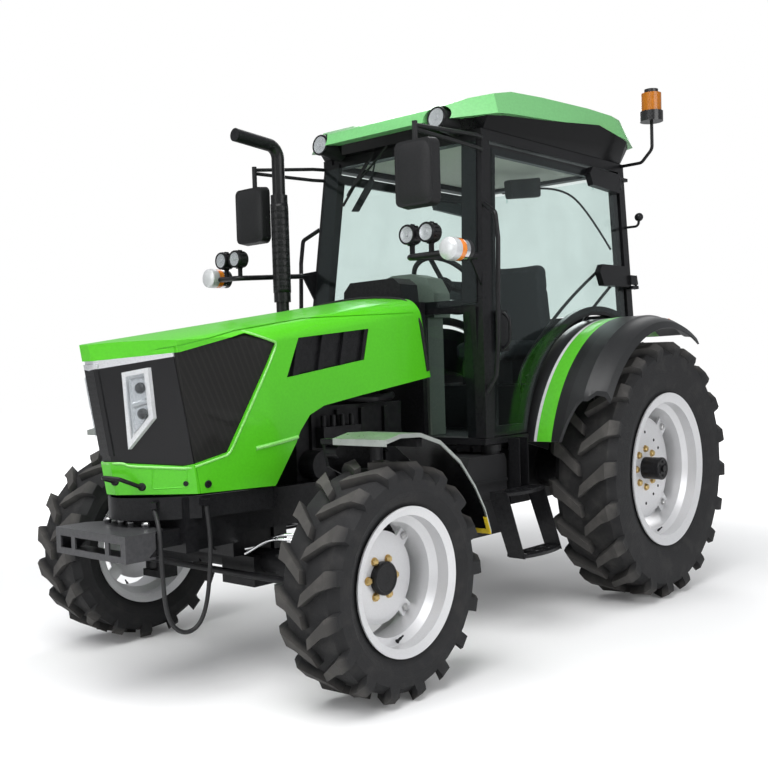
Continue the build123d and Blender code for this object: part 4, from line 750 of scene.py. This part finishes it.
# %% Bolt the wheels together
HUB_NUTS = {"front": (-0.01, 0.077, 6, 0.024), "rear": (0.016, 0.1016, 8, 0.027)}  # out, ring, count, width
EAR_NUTS = {"front": (-0.017, 0.199, 4, 0.022), "rear": (0.009, 0.29, 4, 0.026)}
NUTS = (  # kind, finish, stud, turn of the first one, table
    ("hub_nuts", "zinc gold", 0.0152, 0.0, HUB_NUTS),
    ("ear_nuts", "bare steel", 0.0, math.tau / 8, EAR_NUTS),
)
NUT_HEIGHT = 0.55  # height to width
VALVES = {"front": (0.232, 0.06), "rear": (0.335, 0.075)}  # down from the axle, out from the middle
CAPS = {"front": (0.014, 0.063, 0), "rear": (0.114, 0.058, 6)}  # out from the middle, radius, screws
DIMPLE = ((0.0, 0.0006), (0.0062, 0.0006), (0.0075, 0.0014), (0.0085, 0.0))
STEM = ((0.0, 0.04), (0.0035, 0.04), (0.004, 0.026), (0.0055, 0.024), (0.0055, 0.008), (0.009, 0.0))
DIMPLE_RING, DIMPLE_SHIFT, DIMPLE_OUT, DIMPLE_COUNT = 0.172, 0.018, 0.016, 12
SCREW_INSET = 0.022


def on_ring(level, upright, angle, out):
    """A place on a ring about the axle, facing outward, from its level and its upright radius."""
    return frame_at((level * math.cos(angle), out, upright * math.sin(angle)), (0, 1, 0))


for wheel, centre, _ in WHEELS:
    axle = wheel.split("_")[0]
    side = 1 if centre[1] > 0 else -1
    face_out = Matrix.Translation(centre) @ Matrix.Diagonal((1, side, 1, 1))
    for kind, finish, stud, first_turn, table in NUTS:
        height, ring, count, across = table[axle]
        nuts, one = bmesh.new(), nut(across, across * NUT_HEIGHT, stud)
        for step in range(count):
            stamp(nuts, one, face_out @ on_ring(ring, ring, math.tau * step / count + first_turn, height))
        one.free()
        settle(f"{kind}_{wheel}", nuts, finish, "wheel_" + wheel, "bare_steel")
    if axle == "rear":
        # deep black dimples are painted shade: they stand for the dark seen through the disc's holes, which
        # the solid does not have
        dimples = bmesh.new()
        for step in range(DIMPLE_COUNT):
            angle = math.tau * (step + (0.18 if step % 3 == 1 else 0.0)) / DIMPLE_COUNT
            upright = DIMPLE_RING + DIMPLE_SHIFT * (step % 2)
            stamp(dimples, turned(DIMPLE, 12), face_out @ on_ring(DIMPLE_RING, upright, angle, DIMPLE_OUT))
        settle(f"painted_hole_shade_{wheel}", dimples, "deep black", "wheel_" + wheel, "black_metal")
    valve = bmesh.new()
    seat_r, seat_y = VALVES[axle]
    stamp(valve, turned(STEM, 12), face_out @ frame_at((0.0, seat_y, -seat_r), (0, 0.75, 0.66)))
    settle(f"valve_{wheel}", valve, "moulded black", "wheel_" + wheel, "black_plastic")
    cap = bmesh.new()
    end, cap_r, screws = CAPS[axle]
    lid = turned(((cap_r + 0.0012, -0.012), (cap_r + 0.0012, -0.002), (cap_r - 0.004, 0.003),
                  (cap_r - 0.01, 0.003), (cap_r - 0.012, 0.001), (0.019, 0.001)), 40)
    stamp(cap, lid, face_out @ frame_at((0, end, 0), (0, 1, 0)))
    screw = nut(0.01, 0.006)
    for step in range(screws):
        angle, ring = math.tau * (step + 0.5) / screws, cap_r - SCREW_INSET
        stamp(cap, screw, face_out @ on_ring(ring, ring, angle, end + 0.0008))
    settle(f"hub_cap_{wheel}", cap, "satin black", "wheel_" + wheel, "black_metal")
print("nuts and caps on", len(WHEELS), "wheels")

# %% [markdown]
# ## Work lamps, roof lamps and indicators
# A round work lamp is a finned die-cast body, a bezel, a faceted reflector and a clear lens. The front
# indicators are drums in three rings: silver in front, amber in the middle, chrome behind.

# %% Fit the lamps with bezels and lenses
bezels, reflectors, lenses = bmesh.new(), bmesh.new(), bmesh.new()


def round_lamp(place, direction, radius, fins=0):
    """A bezel, a reflector and a lens on the face of a round lamp body."""
    spot = frame_at(place, direction)
    ring = turned(((radius - 0.006, 0.001), (radius - 0.005, 0.006), (radius + 0.001, 0.006),
                   (radius + 0.003, 0.002), (radius + 0.003, -0.01), (radius - 0.001, -0.012)), 36)
    stamp(bezels, ring, spot)
    for step in range(fins):
        turn_fin = spot @ Matrix.Rotation(math.tau * step / fins, 4, "Z")
        fin = pressed(((radius - 0.004, -0.0015, -0.012), (radius + 0.007, -0.0015, -0.016),
                       (radius + 0.007, -0.0015, -0.04), (radius - 0.004, -0.0015, -0.046)), (0, 0.003, 0))
        stamp(bezels, fin, turn_fin)
    bowl = ((radius - 0.006, 0.0035), (radius * 0.62, 0.0022), (radius * 0.45, 0.0012),
            (radius * 0.22, 0.001), (radius * 0.2, 0.003), (0.0, 0.0034))
    stamp(reflectors, turned(bowl, 18), spot)
    glass = ((radius - 0.006, 0.0042), (radius * 0.6, 0.0075), (radius * 0.3, 0.009), (0.0, 0.0095))
    stamp(lenses, turned(glass, 36), spot)


for _, side in SIDES:
    for y in (0.558, 0.662):
        round_lamp((0.694, side * y, 1.8), (1, 0, 0), 0.04, fins=14)
    round_lamp((0.2446, side * 0.381, 2.3938), (0.9945, 0, 0.1045), 0.05)
settle("lamp_bezels", bezels, *CHASSIS_METAL)
settle("lamp_reflectors", reflectors, "reflector", "chassis", "lamp_lens")
settle("lamp_lenses", lenses, "clear lens", "chassis", "lamp_lens")
DRUM = (  # ring, finish, slot, profile (radius, height)
    ("front_ring", "lamp silver", "lamp_lens",
     ((0.0, 0.076), (0.02, 0.075), (0.036, 0.071), (0.0465, 0.064), (0.0485, 0.054), (0.0485, 0.026),
      (0.0455, 0.025))),
    ("amber_ring", "amber lens", "amber_lens",
     ((0.0455, 0.026), (0.048, 0.025), (0.048, -0.004), (0.0455, -0.005))),
    ("rear_ring", "chrome", "lamp_lens",
     ((0.0455, -0.005), (0.0475, -0.006), (0.0475, -0.03), (0.0455, -0.032))),
)
for kind, finish, slot_name, profile in DRUM:
    drums = bmesh.new()
    for _, side in SIDES:
        stamp(drums, turned(profile, 40), frame_at((0.627, side * 0.772, 1.722), (1, 0, 0)))
    settle("indicator_" + kind, drums, finish, "chassis", slot_name)
print("lamps fitted")

# %% [markdown]
# ## The seat
# The seat is foam under a fitted cover: crowned cushions whose edges pull in, with a sewn channel across.
# Each pad starts as a block with rounded corners, is remeshed to an even skin and blown up by cloth
# pressure, which makes the crown and the pulled corners that a bevel can't.

# %% Blow up the seat pads
PADS = (  # name, length, width, thickness, place of its middle, tilt about Y in degrees, most growth
    ("seat_cushion", 0.44, 0.4, 0.08, (-0.795, 0.0, 1.316), 0.0, 0.014),
    ("seat_back", 0.48, 0.365, 0.066, (-1.006, 0.0, 1.572), -81.0, 0.014),
)
VOXEL, VOXEL_QUICK = 0.006, 0.011
PRESSURE, BLOWN_FRAME = 4.0, 20
SEAMS, SEAM_HALF, SEAM_DEPTH = (-0.22, 0.18), 0.02, 0.007  # the seams as shares of the length


def soft_pad(name, length, width, thick, place, tilt, growth):
    """A rounded block, remeshed, blown up as cloth and capped in its growth."""
    form = bmesh.new()
    bmesh.ops.create_cube(form, size=1.0)
    bmesh.ops.scale(form, vec=(length, width, thick), verts=form.verts)
    for is_upright, offset, segments in ((True, 0.055, 5), (False, 0.018, 3)):
        rises = ((edge, abs(edge.verts[0].co.z - edge.verts[1].co.z)) for edge in form.edges)
        chosen = [edge for edge, rise in rises if (rise > thick / 2) == is_upright]
        bmesh.ops.bevel(
            form, geom=chosen, offset=offset, segments=segments, profile=0.5, affect="EDGES", material=-1)
    pad = placed(name, mesh_of(name, form))
    bpy.context.view_layer.objects.active = pad
    skin = pad.modifiers.new("skin", "REMESH")
    skin.mode = "VOXEL"
    skin.voxel_size = VOXEL
    bpy.context.view_layer.update()
    even = applied(pad)
    pad.modifiers.clear()
    pad.data = even
    start = [vertex.co.copy() for vertex in even.vertices]
    cloth = pad.modifiers.new("cloth", "CLOTH")
    cloth.settings.use_pressure = True
    cloth.settings.uniform_pressure_force = PRESSURE
    cloth.settings.effector_weights.gravity = 0.0
    cloth.point_cache.frame_start = 1
    cloth.point_cache.frame_end = BLOWN_FRAME
    for frame_number in range(1, BLOWN_FRAME + 1):
        scene.frame_set(frame_number)
    blown = applied(pad)
    pad.modifiers.clear()
    scene.frame_set(1)
    for vertex, before in zip(blown.vertices, start):
        move = vertex.co - before
        if move.length > growth:
            vertex.co = before + move.normalized() * growth
    pad.data = blown
    for vertex in pad.data.vertices:  # the sewn channel and its two seams
        for seam in SEAMS:
            near = abs(vertex.co.x - length * seam)
            if near < SEAM_HALF and vertex.co.z > 0:
                vertex.co.z -= SEAM_DEPTH * (1 - near / SEAM_HALF)
    pad.data.transform(Matrix.Translation(place) @ Matrix.Rotation(math.radians(tilt), 4, "Y"))
    for polygon in pad.data.polygons:
        polygon.use_smooth = True
    pad.data.materials.clear()
    pad.data.materials.append(FINISHES["seat cloth"])
    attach(pad, "chassis")
    return pad


for pad_row in PADS:
    pad = soft_pad(*pad_row)
    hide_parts("seat")
    print(pad.name, len(pad.data.vertices), "points")

# %% [markdown]
# ## Inside the cab
# The roof is lined with a felt panel that sags a little between its edges. A bent bar stiffens each door,
# and a monitor hangs behind the driver.

# %% Line the roof and bend the door bars
LINING_SIZE, LINING_PLACE = (1.25, 0.838), (-0.605, 0.0, 2.3235)
LINING_SAG, LINING_THICK = 0.01, 0.004
lining = bmesh.new()
bmesh.ops.create_grid(lining, x_segments=24, y_segments=16, size=0.5)
bmesh.ops.scale(lining, vec=(*LINING_SIZE, 1.0), verts=lining.verts)
for vertex in lining.verts:
    u, v = (2 * part / whole for part, whole in zip(vertex.co, LINING_SIZE))
    vertex.co.z = -LINING_SAG * (1 - u ** 4) * (1 - v ** 4)
bmesh.ops.solidify(lining, geom=lining.faces, thickness=LINING_THICK)
bmesh.ops.translate(lining, vec=LINING_PLACE, verts=lining.verts)
panel = settle("roof_lining", lining, "lining felt", "chassis", "beige_lining", bevel=0.001)
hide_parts("headliner")
DOOR_BARS = (  # name, distance from the middle, points (x, z)
    ("door_bar", 0.506, ((-1.01, 1.742), (-0.833, 1.652), (-0.599, 1.513), (-0.402, 1.37),
                         (-0.26, 1.257), (-0.192, 1.147), (-0.236, 1.09))),
    ("door_stay", 0.513, ((-1.12, 1.655), (-0.879, 1.506), (-0.771, 1.41), (-0.539, 1.253),
                          (-0.256, 1.17))),
)
KNOB = ((0.0, 0.024), (0.01, 0.022), (0.018, 0.014), (0.02, 0.0), (0.016, -0.014), (0.009, -0.02))
for label, side in SIDES:
    for kind, y, line in DOOR_BARS:
        route = [(x, side * y, z) for x, z in line]
        bent_bar(f"{kind}_{label}", route, 0.009, "satin black", "door_" + label, "black_metal")
    knob = bmesh.new()
    stamp(knob, turned(KNOB, 20), frame_at((-0.241, side * 0.506, 1.078), (-0.3, 0, -0.95)))
    settle(f"door_knob_{label}", knob, "moulded black", "door_" + label, "black_plastic")
MONITOR = ((-0.96, 2.29), (-0.65, 2.24), (-0.665, 2.14), (-0.96, 2.18))  # (x, z) of its screen
screen = pressed([(x, 0.13, z) for x, z in MONITOR], (0, 0.05, 0))
settle("cab_monitor", screen, *CHASSIS_PLASTIC, bevel=0.012)
monitor_arm = ((-0.95, 0.178, 2.226), (-1.0, 0.292, 2.218), (-1.06, 0.41, 2.09), (-1.13, 0.515, 1.86))
bent_bar("monitor_arm", monitor_arm, 0.006, *CHASSIS_METAL)
print("cab lined")

# %% [markdown]
# ## Wiper, visor and fastenings
# The wiper hangs from the roof edge and sweeps the windscreen: a spring arm, a bridge and a rubber blade.

# %% Hang the wiper and set the bolts
SCREEN_FOOT, SCREEN_LEAN = (0.178, 1.52), 0.082 / 0.78
WIPER_ARM = ((-0.034, 2.35, 0.03), (-0.15, 2.25, 0.03), (-0.3, 2.154, 0.015))  # y, z, out
BLADES = (  # one end (y, z), the other, out, half width
    ((-0.15, 2.34), (-0.352, 2.09), -0.003, 0.007),
    ((-0.19, 2.29), (-0.315, 2.135), 0.003, 0.01),
)


def on_screen(y, z, out):
    """A place in front of the windscreen."""
    return (SCREEN_FOOT[0] - (z - SCREEN_FOOT[1]) * SCREEN_LEAN + out, y, z)


bent_bar("wiper_arm", [on_screen(*row) for row in WIPER_ARM], 0.006, *CHASSIS_METAL)
blade = bmesh.new()
for low, high, out, wide in BLADES:
    first, last = Vector(on_screen(*low, out)), Vector(on_screen(*high, out))
    across = (last - first).cross(Vector((1, 0, SCREEN_LEAN))).normalized() * wide
    strip = (first - across, first + across, last + across, last - across)
    stamp(blade, pressed(strip, (0.007, 0, 0)))
settle("wiper_blade", blade, *CHASSIS_PLASTIC, bevel=0.001)
VISOR = ((0.062, -0.351, 2.066), (0.062, -0.3, 2.06), (0.05, -0.188, 2.2), (0.05, -0.215, 2.232))
visor = pressed(VISOR, (-0.012, 0, 0))
settle("sun_visor", visor, *CHASSIS_PLASTIC, bevel=0.004)
visor_stem = ((0.045, -0.208, 2.222), (0.036, -0.205, 2.27), (0.02, -0.2, 2.33))
bent_bar("visor_stem", visor_stem, 0.005, *CHASSIS_METAL)
bolts, one = bmesh.new(), nut(0.024, 0.01)
for y in (0.032, 0.125, -0.032, -0.125):
    stamp(bolts, one, frame_at((1.765, y, 0.6755)))
one.free()
settle("bumper_bolts", bolts, "bare steel", "chassis", "bare_steel")
PIPES = (
    ((1.33, 0.19, 0.524), (1.33, 0.265, 0.538), (1.33, 0.35, 0.582), (1.325, 0.42, 0.604),
     (1.3, 0.47, 0.6)),
    ((1.342, 0.2, 0.506), (1.342, 0.25, 0.53), (1.342, 0.326, 0.57), (1.338, 0.4, 0.586),
     (1.31, 0.455, 0.578)),
)
for label, side in SIDES:
    for number, route in enumerate(PIPES):
        line = [(x, side * y, z) for x, y, z in route]
        bent_bar(f"steering_pipe_{label}_{number + 1}", line, 0.006, "chrome", "chassis", "bare_steel")
tails = pressed(((0.691, 0.868, 0.56), (0.691, 0.954, 0.56), (0.719, 0.954, 0.632), (0.719, 0.936, 0.632),
                 (0.699, 0.936, 0.58), (0.699, 0.868, 0.58)), (0.003, 0, -0.001))
settle("guard_corner_left", tails, "yellow paint", "steer_left", "guard_metal", bevel=0.0008)
PULL = ((0.05, 0.594, 1.48), (0.05, 0.628, 1.462), (0.05, 0.632, 1.4), (0.052, 0.63, 1.336),
        (0.052, 0.594, 1.316))
for label, side in SIDES:
    latch = [(x, side * y, z) for x, y, z in PULL]
    bent_bar(f"door_pull_{label}", latch, 0.008, "satin black", "door_" + label, "black_metal")
print("wiper, visor, bolts, pipes and door pulls set")

# %% [markdown]
# ## Under the front mudguards
# A deep black sheet under each front mudguard is painted shade: it darkens the underside, where shade falls.
# It follows the bends of the sheet and is a little over a millimetre thick.

# %% Paint shade under the front mudguards
GUARD_BENDS = ((1.121, 0.997), (1.003, 0.961), (0.882, 0.876), (0.788, 0.768), (0.725, 0.669), (0.688, 0.575))
SHADE_SHEET_START, SHADE_SHEET_WIDTH, SHADE_SHEET_DROP, SHADE_SHEET_THICK = 0.698, 0.246, 0.0075, 0.0012
BENDS_BEFORE, BENDS_AFTER = (GUARD_BENDS[0], *GUARD_BENDS), (*GUARD_BENDS[1:], GUARD_BENDS[-1])
for label, side in SIDES:
    under = []
    for first, here, after in zip(BENDS_BEFORE, GUARD_BENDS, BENDS_AFTER):
        run = (Vector(after) - Vector(first)).normalized()
        under.append(Vector((here[0] - run.y * SHADE_SHEET_DROP, here[1] + run.x * SHADE_SHEET_DROP)))
    # this deep black sheet is painted shade under the mudguard
    coat = bmesh.new()
    line = [coat.verts.new((x, side * SHADE_SHEET_START, z)) for x, z in under]
    edges = [coat.edges.new(pair) for pair in zip(line, line[1:])]
    push(coat, bmesh.ops.extrude_edge_only(coat, edges=edges), (0.0, side * SHADE_SHEET_WIDTH, 0.0))
    bmesh.ops.recalc_face_normals(coat, faces=coat.faces)
    bmesh.ops.solidify(coat, geom=coat.faces, thickness=SHADE_SHEET_THICK)
    settle(f"guard_painted_shade_{label}", coat, "deep black", "steer_" + label, "guard_metal")
print("painted shade laid under the mudguards")

# %% [markdown]
# ## The exhaust guard and the mirrors
# The silencer's heat guard is rolled from perforated sheet. A grid of faces on a cylinder is inset, and the
# inner faces are taken out, which leaves the holes. The mirror shells are moulded with a shallow dome.

# %% Roll the guard and mould the mirror shells
GUARD_R, GUARD_LENGTH, GUARD_PLACE = 0.0445, 0.44, (0.507, -0.422, 1.85)
PERFORATED_HALF, HOLE_RIM, GUARD_SHEET = 0.195, 0.0038, 0.0016
guard = bmesh.new()
bmesh.ops.create_cone(
    guard, cap_ends=False, segments=20, radius1=GUARD_R, radius2=GUARD_R, depth=GUARD_LENGTH)
rings = [edge for edge in guard.edges if abs(edge.verts[0].co.z - edge.verts[1].co.z) > 0.1]
bmesh.ops.subdivide_edges(guard, edges=rings, cuts=25, use_grid_fill=False)
bmesh.ops.rotate(guard, verts=guard.verts, cent=(0, 0, 0), matrix=Matrix.Rotation(0.2, 3, "Z"))
walls = [face for face in guard.faces if abs(face.calc_center_median().z) < PERFORATED_HALF]
bmesh.ops.inset_individual(guard, faces=walls, thickness=HOLE_RIM, depth=0.0)
bmesh.ops.delete(guard, geom=walls[::2], context="FACES_ONLY")
bmesh.ops.translate(guard, vec=GUARD_PLACE, verts=guard.verts)
sleeve = settle("exhaust_guard", guard, *CHASSIS_METAL)
sleeve.modifiers.new("sheet", "SOLIDIFY").thickness = GUARD_SHEET
MIRROR_BACKS = (("left", (0.694, 0.6, 2.055)), ("right", (0.554, -0.6, 2.03)))
MIRROR_HALF, MIRROR_DOME, MIRROR_WALL = (0.101, 0.138), 0.014, 0.003
FACING_BACK = Matrix(((0, 0, 1, 0), (1, 0, 0, 0), (0, 1, 0, 0), (0, 0, 0, 1)))
for label, place in MIRROR_BACKS:
    shell = bmesh.new()
    bmesh.ops.create_grid(shell, x_segments=16, y_segments=20, size=1.0)
    for vertex in shell.verts:
        u, v = vertex.co.x, vertex.co.y
        vertex.co.x = u * math.sqrt(1 - 0.22 * v ** 6) * MIRROR_HALF[0]
        vertex.co.y = v * math.sqrt(1 - 0.16 * u ** 6) * MIRROR_HALF[1]
        vertex.co.z = MIRROR_DOME * (1 - u ** 4) * (1 - v ** 4) - 0.004
    bmesh.ops.solidify(shell, geom=shell.faces, thickness=MIRROR_WALL)
    bmesh.ops.transform(shell, matrix=Matrix.Translation(place) @ FACING_BACK, verts=shell.verts)
    settle(f"mirror_shell_{label}", shell, *CHASSIS_PLASTIC)
print("guard and mirror shells made")

# %% Dress the loop
loop.data.materials.append(FINISHES["cord rubber"])
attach(loop, "chassis")
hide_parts("front_loop")
